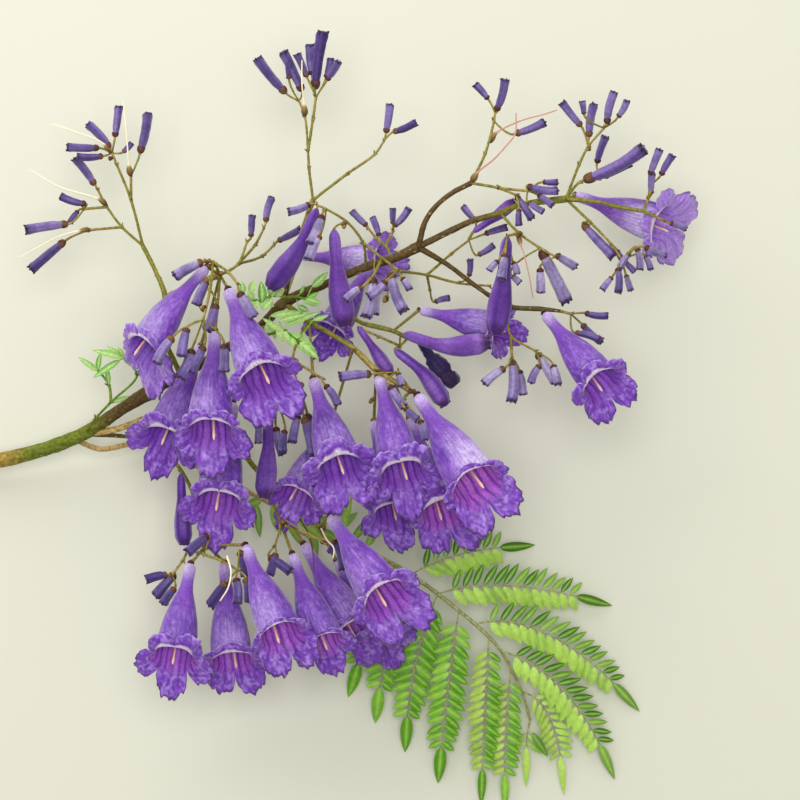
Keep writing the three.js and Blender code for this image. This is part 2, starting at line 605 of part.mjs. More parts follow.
// A ring of a flower's stalk, straight across it and in step with the rings of the bell
function ringRound(centre, tangent, near, sides, grow) {
  const up = near.clone().addScaledVector(tangent, -near.dot(tangent)).normalize();
  const across = new THREE.Vector3().crossVectors(tangent, up);
  const radius = STALK_RADIUS + grow;
  return Array.from({ length: sides }, (_, index) => {
    const turn = (index / sides) * 2 * Math.PI;
    return centre.clone()
      .addScaledVector(up, Math.cos(turn) * radius)
      .addScaledVector(across, Math.sin(turn) * radius);
  });
}

// A bud with its stalk: a thin stalk, a club and a blunt tip in one skin
function bud(fork, foot, tip, grow) {
  const base = foot.clone();
  const axis = tip.clone().sub(base);
  const length = axis.length();
  const radius = Math.max(length * BUD_SLIMNESS, BUD_LEAST_RADIUS);
  const along = (part) => base.clone().addScaledVector(axis, part);
  const points = [fork, along(0), along(BUD_FULLEST)];
  const radii = [STALK_ROOT_RADIUS, radius * BUD_FOOT, radius];
  return limb(points, radii.map((value) => value + grow), BUD_SIDES, { endPole: along(1 + grow / length) });
}

// A full bud, closed and curved, as long as a flower
function fullBud(fork, places, grow) {
  const points = places.map(at);
  const curve = new THREE.CatmullRomCurve3(points, false, 'centripetal');
  const radius = curve.getLength() * FULL_BUD_SLIMNESS;
  const route = FULL_BUD_PROFILE.map(([along]) => curve.getPoint(along));
  const widths = FULL_BUD_PROFILE.map(([, width]) => width * radius + grow);
  return limb([fork, ...route], [STALK_ROOT_RADIUS + grow, ...widths], FULL_BUD_SIDES);
}

// The fork of the twigs that lies nearest in the picture, other than their root in the limb
function nearestFork(twigs, u, v) {
  const root = twigs[0][0];
  const away = (fork) => Math.hypot(fork[0] - u, fork[1] - v);
  const forks = twigs.flat().filter((fork) => fork !== root);
  return forks.reduce((best, fork) => (away(fork) < away(best) ? fork : best));
}

function twigSolids(twigs, grow) {
  return twigs.map((twig) => {
    const radii = twig.map((_, index) => TWIG_RADIUS - TWIG_TAPER * index);
    return smoothLimb(twig, radii, TWIG_SIDES, grow);
  });
}

// A mass of buds: twigs from one stem, each bud on a stalk from the nearest fork
function mass({ twigs, buds = [], full = [] }, seed, grow) {
  const random = seeded(seed);
  const solids = twigSolids(twigs, grow);
  for (const [u0, v0, u1, v1, height] of buds) {
    const rise = (random() * 2 - 1) * BUD_RISE;
    const tilt = (random() * 2 - 1) * BUD_TILT;
    const fork = nearestFork(twigs, u0, v0);
    const footHeight = height ?? fork[2] + rise;
    const foot = at([u0, v0, footHeight]);
    const length = foot.distanceTo(at([u1, v1, footHeight]));
    const tipHeight = Math.max(footHeight + tilt * length, length * BUD_SLIMNESS);
    solids.push(bud(at(fork), foot, at([u1, v1, tipHeight]), grow));
  }
  for (const places of full) {
    solids.push(fullBud(at(nearestFork(twigs, places[0][0], places[0][1])), places, grow));
  }
  return solids;
}

// A young leaflet of eight faces from foot to tip
function youngLeaflet(foot, tip, width, thickness) {
  const axis = tip.clone().sub(foot);
  const across = new THREE.Vector3(-axis.y, axis.x, 0).normalize().multiplyScalar(width / 2);
  const middle = foot.clone().addScaledVector(axis, YOUNG_LEAFLET_WIDEST);
  const rise = new THREE.Vector3(0, 0, thickness / 2);
  const points = [foot, middle.clone().add(across), tip, middle.clone().sub(across),
    middle.clone().add(rise), middle.clone().sub(rise)];
  const faces = [];
  for (let corner = 0; corner < 4; corner += 1) {
    const next = (corner + 1) % 4;
    faces.push([next, corner, 4], [corner, next, 5]);
  }
  return solidFrom(points, faces);
}

function youngLeaf({ twigs, leaflets }, grow) {
  const solids = twigSolids(twigs, grow);
  for (const [u0, v0, u1, v1] of leaflets) {
    const foot = at(nearestFork(twigs, u0, v0));
    const tip = at([u1, v1, foot.z + 1]);
    const axis = tip.clone().sub(foot).normalize();
    foot.addScaledVector(axis, -YOUNG_LEAFLET_ROOT - grow);
    tip.addScaledVector(axis, grow);
    const width = Math.max(foot.distanceTo(tip) * YOUNG_LEAFLET_WIDTH, YOUNG_LEAFLET_LEAST_WIDTH);
    solids.push(youngLeaflet(foot, tip, width + 2 * grow, YOUNG_LEAFLET_THICKNESS + 2 * grow));
  }
  return solids;
}

// One pinna: a thin blade on a bent rib, its outline cut to the rib between the leaflets
function pinna([ribPlace, middle, tip], grow) {
  const curve = new THREE.QuadraticBezierCurve3(at(LEAF_RIB.route[ribPlace]), at(middle), at(tip));
  const length = curve.getLength();
  const pairs = Math.max(3, Math.round((length - END_LEAFLET_LENGTH) / LEAFLET_PITCH));
  const bottom = (BLADE_THICKNESS / 2) + grow;
  const up = new THREE.Vector3(0, 0, 1);
  const rib = [];
  for (let station = 0; station <= pairs; station += 1) {
    const part = (station / pairs) * (1 - END_LEAFLET_LENGTH / length);
    const middlePoint = curve.getPointAt(part);
    const along = curve.getTangentAt(part);
    rib.push({ middle: middlePoint, along, left: new THREE.Vector3().crossVectors(up, along).normalize() });
  }
  const points = [];
  const faces = [];
  const put = (point) => {
    points.push(point.clone().setZ(Math.max(point.z, bottom)));
    return points.length - 1;
  };
  const edges = rib.map(({ middle, left }) => [1, -1].map((hand) =>
    put(middle.clone().addScaledVector(left, hand * (RIB_HALF_WIDTH + grow)))));
  const outline = { left: [], right: [] };
  for (let station = 0; station < pairs; station += 1) {
    const { middle, along, left } = rib[station];
    const share = Math.sin(Math.PI * (PINNA_SWELL.start + PINNA_SWELL.span * (station / pairs)));
    const size = LEAFLET_LENGTH * share + grow;
    const [lowLeft, lowRight] = edges[station];
    const [highLeft, highRight] = edges[station + 1];
    faces.push([lowRight, highRight, highLeft], [lowRight, highLeft, lowLeft]);
    [1, -1].forEach((hand) => {
      const lean = along.clone().multiplyScalar(Math.cos(LEAFLET_ANGLE))
        .addScaledVector(left, hand * Math.sin(LEAFLET_ANGLE));
      const back = new THREE.Vector3().crossVectors(lean, up).normalize().multiplyScalar(hand);
      const foot = middle.clone().addScaledVector(left, hand * RIB_HALF_WIDTH);
      const belly = put(foot.clone().addScaledVector(lean, size * LEAFLET_BELLY_PLACE)
        .addScaledVector(back, LEAFLET_BELLY + grow).setZ(middle.z - LEAFLET_DROOP * size / 3));
      const tip = put(foot.clone().addScaledVector(along, LEAFLET_SWEEP)
        .addScaledVector(lean, size).setZ(middle.z - LEAFLET_DROOP * size));
      const low = hand > 0 ? lowLeft : lowRight;
      const high = hand > 0 ? highLeft : highRight;
      const kite = [[low, belly, high], [belly, tip, high]];
      faces.push(...kite.map(([a, b, c]) => (hand > 0 ? [a, c, b] : [a, b, c])));
      outline[hand > 0 ? 'left' : 'right'].push(low, belly, tip);
    });
  }
  const end = rib[pairs];
  const [endLeft, endRight] = edges[pairs];
  const bellies = [1, -1].map((hand) => put(end.middle.clone()
    .addScaledVector(end.along, END_LEAFLET_LENGTH * END_LEAFLET_BELLY_PLACE)
    .addScaledVector(end.left, hand * (END_LEAFLET_HALF_WIDTH + grow))));
  const endTip = put(end.middle.clone().addScaledVector(end.along, END_LEAFLET_LENGTH + grow));
  faces.push([endRight, bellies[1], bellies[0]], [endRight, bellies[0], endLeft]);
  faces.push([bellies[1], endTip, bellies[0]]);
  const endOutline = [endRight, bellies[1], endTip, bellies[0], endLeft];
  const loop = [...outline.right, ...endOutline, ...outline.left.reverse()];
  return blade(points, faces, loop, BLADE_THICKNESS + 2 * grow);
}

// A thin blade over flat triangles: its loop runs round the outside, against the clock from above
function blade(points, faces, loop, thickness) {
  const shift = new THREE.Vector3(0, 0, thickness / 2);
  const count = points.length;
  const above = points.map((point) => point.clone().add(shift));
  const below = points.map((point) => point.clone().sub(shift));
  const sheets = faces.flatMap(([a, b, c]) => [[a, b, c], [a + count, c + count, b + count]]);
  const walls = loop.flatMap((here, index) => {
    const next = loop[(index + 1) % loop.length];
    return [[here, here + count, next + count], [here, next + count, next]];
  });
  return solidFrom([...above, ...below], [...sheets, ...walls]);
}

function leaf(grow) {
  const route = [...LEAF_STALK.route, ...LEAF_RIB.route];
  const stalk = smoothLimb(route, [...LEAF_STALK.radii, ...LEAF_RIB.radii], BOUGH_SIDES, grow);
  return [stalk, ...PINNAE.map((places) => pinna(places, grow))];
}

// Every sub-part in turn. A later one is cut clear of the ones before it.
const SUB_PARTS = [
  ...LIMBS.map(({ name, colour, route, radii, sides, square }) => (
    { name, colour, solids: (grow) => [smoothLimb(route, radii, sides, grow, square)] })),
  ...FLOWERS.map((one) => ({ name: one.name, colour: BLOOM, solids: (grow) => flower(one, grow) })),
  ...MASSES.map((one, index) => (
    { name: one.name, colour: BUDS, solids: (grow) => mass(one, index + 1, grow) })),
  { name: 'leaf', colour: LEAF, solids: leaf },
  ...YOUNG_LEAVES.map((one) => (
    { name: one.name, colour: YOUNG_LEAF, solids: (grow) => youngLeaf(one, grow) })),
];

function boxesMeet(first, second) {
  return [0, 1, 2].every((axis) => first.min[axis] < second.max[axis] && second.min[axis] < first.max[axis]);
}

function largestPiece(solid) {
  return solid.decompose().reduce((best, piece) => (piece.volume() > best.volume() ? piece : best));
}

function geometryFrom(solid) {
  const { vertProperties, triVerts } = solid.getMesh();
  const grid = vertProperties.map((value) => Math.round(value / FINEST_STEP) * FINEST_STEP);
  const geometry = new THREE.BufferGeometry();
  geometry.setAttribute('position', new THREE.BufferAttribute(grid, 3));
  geometry.setIndex(new THREE.BufferAttribute(triVerts, 1));
  return geometry;
}

// The solid with its corners on a fine grid, corners that meet there merged, and loose scraps dropped
function settled(solid) {
  const geometry = mergeVertices(geometryFrom(largestPiece(solid.simplify(FINEST_DETAIL))), FINEST_STEP);
  const corners = geometry.index.array;
  const kept = [];
  for (let index = 0; index < corners.length; index += 3) {
    const [a, b, c] = corners.slice(index, index + 3);
    if (a !== b && b !== c && c !== a) {
      kept.push(a, b, c);
    }
  }
  const vertProperties = geometry.attributes.position.array;
  const mesh = new wasm.Mesh({ numProp: 3, vertProperties, triVerts: new Uint32Array(kept) });
  return largestPiece(new wasm.Manifold(mesh));
}

const branch = new THREE.Group();
const reaches = [];
for (const { name, colour, solids } of SUB_PARTS) {
  let solid = wasm.Manifold.union(solids(0));
  const box = solid.boundingBox();
  for (const reach of reaches) {
    if (boxesMeet(box, reach.boundingBox())) {
      solid = solid.subtract(reach);
    }
  }
  reaches.push(wasm.Manifold.union(solids(GAP)));
  const mesh = new THREE.Mesh(geometryFrom(settled(solid)), colour);
  mesh.name = name;
  mesh.geometry.computeVertexNormals();
  branch.add(mesh);
}

export default branch;
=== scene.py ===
"""A cut flowering branch of jacaranda that lies on a pale floor, seen from straight above.

X runs to the right of the picture, Y to its top and Z up from the floor. A place is (u, v, height): a point
of the 800 x 800 picture and its height over the floor in millimetres. Other lengths are in millimetres up to
mesh_piece(), which makes metres of them. Lights, materials and the floor are in metres.
"""

import math

import bpy
import numpy as np
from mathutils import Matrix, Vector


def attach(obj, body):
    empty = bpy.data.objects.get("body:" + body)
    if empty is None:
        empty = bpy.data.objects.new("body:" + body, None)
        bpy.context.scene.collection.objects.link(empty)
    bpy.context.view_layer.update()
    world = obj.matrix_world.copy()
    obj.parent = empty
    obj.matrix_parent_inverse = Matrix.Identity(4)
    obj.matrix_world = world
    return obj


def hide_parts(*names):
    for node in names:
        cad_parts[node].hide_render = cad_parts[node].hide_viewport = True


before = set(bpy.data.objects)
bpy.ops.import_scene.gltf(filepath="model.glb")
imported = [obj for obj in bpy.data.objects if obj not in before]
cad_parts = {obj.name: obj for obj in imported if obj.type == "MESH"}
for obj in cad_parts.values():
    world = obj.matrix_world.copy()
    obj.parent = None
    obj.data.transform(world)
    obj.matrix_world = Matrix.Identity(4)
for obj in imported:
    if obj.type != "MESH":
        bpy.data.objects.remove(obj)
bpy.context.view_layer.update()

METRE = 1000.0
UP = np.array([0.0, 0.0, 1.0])
ANY_TURN = 6.28

# Where each kind of piece starts its random numbers
SEEDS = {"limb": 1, "flower": 11, "mass": 1, "buds": 500, "lenticels": 900, "leaf": 31, "leaf_stalk": 77,
         "young_leaf": 41, "stub": 60}

# The camera over the picture's middle, as in the model
PICTURE_SIDE = 800
PICTURE_MIDDLE = 400
VIEW_HEIGHT = 1000.0
GROUND_SCALE = 0.3723
MIDDLE = np.array([-32.294, -12.45])
SENSOR = 36.0

# Limbs and stalks, and the steps in which their routes are drawn
STALK_RADIUS = 0.5
BUD_STALK_RADIUS = 0.32
TWIG_RADIUS = 0.52
TWIG_TAPER = 0.04
TWIG_STEP = 0.8
LIMB_STEP = 0.7
LEAF_STALK_STEP = 1.5
STYLE_STEP = 0.6
THICK_LIMB = 1.5
LIMB_SIDES = {"thick": 28, "thin": 16}
BRACT_RADII = (0.32, 0.36, 0.3, 0.2, 0.06)
LENTICEL_RADII = (0.06, 0.17, 0.2, 0.17, 0.06)
MAP_LENGTH = 10
CUT_SIDES = 24
CUT_LAYER = 0.01

# The share of the main stem at which it turns green and then brown
STEM_GREEN_START = (0.07, 0.13)
STEM_BROWN_START = (0.22, 0.27)

# Profiles are rows of the place along, from 0 to 1, and the value there
PROFILE_STEPS = 401
PROFILE_SOFTNESS = 24

# The corolla of an open flower, at size 1
PETALS = 5
COROLLA_SIDES = 150
SLOPE_STEP = 0.004
TUBE_LENGTH = 38.0
BELL_RADIUS = 7.5
BELL_FLATNESS = 0.8
BELL_BOW = 1.6
BELL_FOLD = 0.035
BELL_SQUASH = 0.02
LIP_SET_BACK = 0.1
MOUTH_SHARE = 0.91
LOWER_LOBE = {"length": 13.2, "start": 0.2, "turn": 0.45}
UPPER_LOBE = {"length": 7.5, "start": 1.7, "turn": 1.3}
SIDE_LOBE_LESS = 3.6
LOBE_NOTCH = 0.15
LOBE_ROUNDNESS = 0.45
WALL = 0.35
THROAT_DEPTH = 0.3
BELL_PROFILE = ((0, 0.3), (0.2, 0.29), (0.3, 0.36), (0.45, 0.62), (0.6, 0.83), (0.78, 0.96), (1, 1))
DOME = 0.07
RUFFLE_HEIGHT = 0.65
RUFFLE_FORTH = 0.7
ROD_LEAN = 1.6
ROD_RADIUS = 0.37

# Waves round the lobes: how many, which of the flower's own numbers shifts them, how often it counts, and
# how high they are
EDGE_TEETH = ((19, "wave", 2, 0.05), (31, "fold", 5, 0.04), (53, "wave", 3, 0.03))
RUFFLES = ((13, "wave", 1, 1.0), (23, "fold", 3, 0.7))

# The spans of a flower's own numbers, in the order they are drawn: the turns of its folds and waves, the
# length of each lobe, how long its upper lip is, how strong its painted sheen is and where it lies, how wide
# its lobes spread, and how warm its throat is
LOOK_SPANS = {"fold": (0, ANY_TURN), "wave": (0, ANY_TURN), "lobes": (0.86, 1.16, PETALS),
              "flap": (0.6, 1.05), "sheen": (0.1, 0.5), "sheen_turn": (-0.9, 0.9), "flare": (-0.1, 0.2),
              "warm": (0, 0.4)}
LOWER_WARM = (0.6, 1)

# Where along the corolla one colour gives way to the next: 0 is its foot, 1 its mouth and 2 the lobes' edge
NECK_END = (0.04, 0.22)
VIOLET_START = (0.14, 0.34)
BELL_START = (0.25, 0.5)
SHEEN_START = (0.4, 0.9)
THROAT_END = (0.65, 1.0)
LOBE_START = (1.05, 1.45)
STRIPE_END = (1.2, 1.75)
EDGE_START = (1.87, 1.97)

# Buds. A bud longer than GROWN_BUD turns from blue to the violet of a full bud
BUD_SIDES = 20
BUD_SLIMNESS = 0.145
BUD_PROFILE = ((0, 0.34), (0.05, 0.54), (0.15, 0.72), (0.3, 0.88), (0.55, 0.94), (0.8, 0.98), (0.92, 0.97),
               (0.97, 0.88), (1, 0.6))
BUD_BOW = 0.06
GROWN_BUD = (17, 23)
CALYX_PROFILE = ((0, 0.46), (0.06, 0.82), (0.17, 0.82))
CROWN_LOBE = ((0, 0.36), (0.5, 0.3), (1, 0.1))
WITHERED_PROFILE = ((0, 1.0), (0.15, 1.3), (0.4, 2.6), (0.6, 3.4), (0.8, 3.2), (1, 1.6))
STUB_PROFILE = ((0, 0.35), (0.3, 0.5), (0.8, 0.6), (1, 0.42))
BUD_RADIUS = {"least": 0.85, "growth": 0.058}
STOUT = {"lower_left_buds": 1.3, "lower_row_buds": 1.25, "left_column_buds": 1.25, "arch_spray": 1.15,
         "middle_buds": 1.15, "middle_right_buds": 1.15, "hanging_spray": 1.15, "hanging_cluster": 1.15}
BUD_RISE = 2.5
BUD_TILT = 0.36
FULL_BUD_PROFILE = ((0, 0.42), (0.12, 0.5), (0.36, 0.54), (0.52, 0.78), (0.68, 1), (0.88, 0.98), (1, 0.84))
FULL_BUD_END = ((0, 1), (0.88, 1), (0.94, 0.84), (1, 0.6))
FULL_BUD_SLIMNESS = 0.124
FULL_BUD_SIDES = 40

# The big leaf
LEAFLET_PITCH = 4.1
LEAFLET_LENGTH = 10.3
LEAFLET_ANGLE = 0.98
END_LEAFLET_LENGTH = 16.0
BARE_RIB = 4.5
PINNA_SWELL = {"start": 0.3, "span": 0.5}
LEAFLET_DROOP = 0.1
LEAST_HEIGHT = 0.3
LANES = np.array([-1, -0.5, 0, 0.5, 1])


def rgb(red, green, blue):
    """A colour of the screen, 0 to 255, as linear light."""
    values = np.array([red, green, blue]) / 255.0
    return np.where(values <= 0.04045, values / 12.92, ((values + 0.055) / 1.055) ** 2.4)


# Colours
ROOM_COLOUR = (1.0, 1.0, 0.98, 1)
FLOOR = rgb(218, 218, 202)
PETAL = rgb(128, 76, 180)
PETAL_DEEP = rgb(84, 34, 144)
PETAL_LILAC = rgb(180, 148, 222)
# The pale lilac of a highlight painted on the bell as its sheen
PAINTED_SHEEN_PALE = rgb(216, 202, 242)
NECK = rgb(200, 180, 222)
NECK_LOW = rgb(138, 98, 186)
# The throat is painted lighter deep inside, to stand in for light that shines through the thin petals
THROAT_PAINTED_LIGHT = rgb(230, 156, 238)
THROAT_COOL_PAINTED_LIGHT = rgb(170, 120, 222)
THROAT_EDGE = rgb(172, 98, 196)
STRIPE = rgb(90, 34, 142)
# A pale band painted as a highlight where the upper lip folds back
FOLD_HIGHLIGHT = rgb(232, 214, 236)
PETAL_EDGE = rgb(58, 20, 92)
# A thin highlight painted along the upper lip's rim
PETAL_RIM_HIGHLIGHT = rgb(178, 156, 220)
ROD = rgb(226, 172, 154)
ROD_TIP = rgb(228, 196, 176)
CALYX = rgb(84, 48, 52)
CALYX_TAN = rgb(122, 88, 62)
BUD_PALE = rgb(198, 186, 216)
BUD_MIDDLE = rgb(114, 90, 162)
BUD_DARK = rgb(70, 50, 116)
BUD_TIP = rgb(54, 28, 68)
FULL_BUD = rgb(110, 58, 156)
FULL_BUD_PALE = rgb(164, 128, 204)
FULL_BUD_TIP = rgb(76, 34, 86)
WITHERED = rgb(46, 38, 94)
TWIG_OLIVE = rgb(130, 128, 48)
TWIG_TAN = rgb(158, 138, 76)
TWIG_DARK = rgb(96, 86, 46)
STEM_TAN = rgb(164, 138, 66)
STEM_GREEN = rgb(110, 120, 36)
STEM_BROWN = rgb(96, 76, 40)
STALK_TAN = rgb(190, 162, 106)
LENTICEL = rgb(176, 150, 104)
SCAR = rgb(96, 58, 34)
CUT_WOOD = rgb(214, 198, 150)
LEAF_GREEN = rgb(98, 166, 28)
LEAF_MID = rgb(118, 180, 46)
LEAF_LIGHT = rgb(184, 220, 100)
LEAF_DARK = rgb(50, 110, 12)
LEAF_THIN = rgb(172, 196, 88)
LEAF_RIB_COLOUR = rgb(164, 166, 112)
YOUNG_GREEN = rgb(130, 196, 70)
YOUNG_LIGHT = rgb(198, 228, 146)
YOUNG_DARK = rgb(66, 152, 26)
STYLE_PINK = rgb(206, 152, 140)
STYLE_CREAM = rgb(250, 238, 206)

# The rings of the cut end, from its edge to its pith: radius and colour
CUT_RINGS = ((0.93, CUT_WOOD), (0.6, CUT_WOOD * 0.85), (0.3, CUT_WOOD), (0.12, SCAR))

# Lights: name, place, the point they face, side of the square, watts and colour
LIGHTS = (
    ("key", (-0.4, 0.9, 0.7), (0, 0, 0), 1.1, 8.4, (1.0, 0.99, 0.97)),
    ("overhead", (0.03, 0.1, 1.6), (0.03, 0, 0), 0.7, 11, (1.0, 1.0, 1.0)),
)
ROOM_STRENGTH = 0.35
FLOOR_REACH = 6.0

# Forks and tips of the limbs, as in the model
CUT_END = (-60, 468, 3.0)
STEM_LOW = (83, 434, 21)
STEM_KNOT = (147, 394, 30)
STEM_LEFT = (181, 376, 35)
STEM_MIDDLE = (262, 325, 46)
STEM_FORK = (284, 303, 49)
STEM_ARCH = (366, 267, 54)
CROOK_FORK = (418, 247, 57)
HANGING_FORK = (500, 213, 59)
TIP_FORK = (566, 199, 60)
TOP_LEFT_FORK = (165, 297, 50)
TOP_LEFT_TIP = (143, 246, 46)
COLUMN_TIP = (220, 275, 62)
TOP_TIP = (313, 200, 60)
CROOK_TIP = (471, 183, 63)
LOW_RIGHT_KNOT = (508, 306, 54)
LOW_RIGHT_END = (541, 309, 56)
LOW_RIGHT_TIP = (560, 311, 57)
MIDDLE_START = (309, 321, 56)
MIDDLE_KNOT = (353, 348, 60)
MIDDLE_NODE = (376, 370, 62)
MIDDLE_BEND = (394, 381, 63)
MIDDLE_TIP = (411, 391, 63)
INNER_NODE = (393, 331, 48)
INNER_TIP = (408, 338, 48)
LOWER_NODE = (262, 475, 32)
LOWER_BEND = (304, 501, 37)
LOWER_TIP = (320, 527, 48)
LOWER_LEFT_TIP = (206, 545, 47)
TIP_BRANCH = (620, 207, 63)
TIP_END = (643, 211, 64)

# Limbs: name, slot, colours at its start and end, route, and the radius at each of its places
LIMBS = (
    ("main_stem", "bark", (STEM_GREEN, STEM_BROWN),
     (CUT_END, (0, 460, 11), (45, 449, 16), STEM_LOW, (125, 407, 27), STEM_KNOT, (163, 385, 32), STEM_LEFT,
      (225, 349, 42), STEM_MIDDLE, STEM_FORK, (328, 283, 52), STEM_ARCH, (392, 259, 55), CROOK_FORK),
     (3.0, 2.75, 2.6, 2.5, 2.2, 2.7, 1.8, 1.75, 1.65, 1.6, 2.1, 1.35, 1.5, 1.5, 1.9)),
    ("outer_stem", "bark", (STEM_BROWN, TWIG_OLIVE),
     (CROOK_FORK, (470, 222, 58), HANGING_FORK, (520, 205, 59), TIP_FORK), (1.15, 1.1, 1.05, 0.95, 1.35)),
    ("top_left_bough", "green_bark", (TWIG_OLIVE, TWIG_OLIVE),
     (STEM_LEFT, (160, 325, 46), TOP_LEFT_FORK, (155, 270, 48), TOP_LEFT_TIP), (1.0, 0.9, 1.0, 0.75, 0.8)),
    ("left_column_bough", "green_bark", (TWIG_OLIVE, TWIG_TAN),
     (TOP_LEFT_FORK, (190, 285, 56), COLUMN_TIP), (0.8, 0.75, 1.3)),
    ("top_bough", "bark", (STEM_BROWN, TWIG_TAN),
     (STEM_FORK, (287, 285, 52), (306, 219, 58), TOP_TIP), (1.0, 0.9, 0.75, 1.1)),
    ("crook_bough", "bark", (STEM_BROWN, STEM_BROWN),
     (CROOK_FORK, (420, 240, 58), (425, 222, 60), (436, 206, 61), (452, 193, 62), CROOK_TIP),
     (1.2, 1.1, 0.9, 0.85, 0.85, 1.0)),
    ("low_right_bough", "bark", (STEM_BROWN, TWIG_DARK),
     (CROOK_FORK, (448, 265, 55), (480, 289, 53), LOW_RIGHT_KNOT, LOW_RIGHT_END, LOW_RIGHT_TIP),
     (1.1, 0.85, 0.8, 0.85, 0.9, 0.6)),
    ("middle_bough", "green_bark", (TWIG_OLIVE, TWIG_TAN),
     (STEM_FORK, MIDDLE_START, (331, 334, 58), MIDDLE_KNOT, MIDDLE_NODE, MIDDLE_BEND, MIDDLE_TIP),
     (1.0, 0.9, 0.85, 1.0, 1.1, 0.9, 0.9)),
    ("inner_bough", "green_bark", (TWIG_OLIVE, TWIG_OLIVE),
     ((328, 283, 52), (341, 306, 46), (360, 322, 46), (378, 327, 47), INNER_NODE, INNER_TIP),
     (0.8, 0.75, 0.75, 0.85, 0.8, 0.8)),
    ("lower_bough", "green_bark", (STALK_TAN, TWIG_OLIVE),
     (STEM_LOW, (117, 429, 24), (149, 417, 26), (182, 407, 28), (228, 435, 30), LOWER_NODE, LOWER_BEND,
      LOWER_TIP), (1.3, 1.15, 1.1, 1.0, 0.95, 0.95, 0.85, 0.85)),
    ("lower_left_bough", "bark", (TWIG_DARK, TWIG_OLIVE),
     (STEM_LOW, (130, 437, 22), (155, 443, 26), (188, 482, 36), LOWER_LEFT_TIP),
     (0.85, 0.7, 0.65, 0.65, 0.8)),
    ("tip_bough", "green_bark", (TWIG_OLIVE, TWIG_OLIVE),
     (TIP_FORK, (598, 202, 62), TIP_BRANCH, TIP_END), (0.9, 0.65, 0.75, 0.6)),
)

# Open flowers: name, where the stalk leaves its limb, the foot of the corolla, the middle of its mouth, and
# what is its own: its size, its roll round its own length, half a lobe's turn, longer or paler lobes, or a
# number in place of one of LOOK_SPANS
FLOWERS = (
    ("flower_left_1", COLUMN_TIP, (207, 267, 66), (148, 347, 76),
     {"roll": 0.8, "flare": 0.45, "light": 0.3, "warm": 0}),
    ("flower_left_2", COLUMN_TIP, (228, 289, 68), (262, 375, 87), {"half": True}),
    ("flower_left_3", COLUMN_TIP, (215, 331, 64), (211, 427, 78), {}),
    ("flower_left_4", COLUMN_TIP, (201, 345, 46), (168, 433, 54), {}),
    ("flower_left_5", STEM_MIDDLE, (233, 402, 42), (219, 498, 56), {}),
    ("flower_middle_1", MIDDLE_NODE, (379, 375, 61), (401, 468, 73), {}),
    ("flower_middle_2", MIDDLE_TIP, (417, 395, 68), (473, 480, 87),
     {"half": True, "flap": 0.3, "sheen": 1, "warm": 1}),
    ("flower_middle_3", MIDDLE_BEND, (409, 418, 44), (441, 507, 58),
     {"half": True, "sheen": 0.9, "warm": 1}),
    ("flower_middle_4", MIDDLE_NODE, (374, 420, 40), (393, 508, 50), {}),
    ("flower_middle_5", MIDDLE_START, (313, 378, 60), (339, 464, 76), {"half": True}),
    ("flower_middle_6", MIDDLE_KNOT, (332, 420, 42), (298, 492, 50), {}),
    ("flower_lower_1", LOWER_LEFT_TIP, (191, 563, 50), (175, 652, 62), {}),
    ("flower_lower_2", LOWER_LEFT_TIP, (224, 562, 38), (232, 655, 46), {"half": True}),
    ("flower_lower_3", LOWER_LEFT_TIP, (245, 545, 58), (279, 630, 72), {"half": True, "flap": 0.25}),
    ("flower_lower_4", LOWER_NODE, (292, 553, 48), (322, 638, 56), {"flap": 0.3}),
    ("flower_lower_5", LOWER_NODE, (303, 543, 34), (352, 624, 40), {}),
    ("flower_lower_6", LOWER_TIP, (330, 515, 62), (383, 594, 80), {"half": True}),
    ("flower_lower_7", LOWER_BEND, (336, 560, 22), (379, 636, 27), {}),
    ("flower_right_1", LOW_RIGHT_END, (544, 313, 58), (598, 380, 70), {"half": True}),
    ("flower_right_2", TIP_FORK, (575, 195, 44), (658, 224, 53),
     {"roll": 0.15, "half": True, "flare": 0.75, "light": 1.2, "warm": 0, "reach": 1.3, "sheen": 1.2}),
    ("flower_inner_1", INNER_NODE, (419, 310, 43), (503, 330, 44), {"size": 0.8}),
    ("flower_back_1", STEM_FORK, (300, 256, 13), (382, 262, 13), {"size": 0.8, "sheen": 1.3, "light": 0.6}),
    ("flower_back_2", STEM_ARCH, (372, 262, 30), (337, 322, 32), {"size": 0.8}),
)

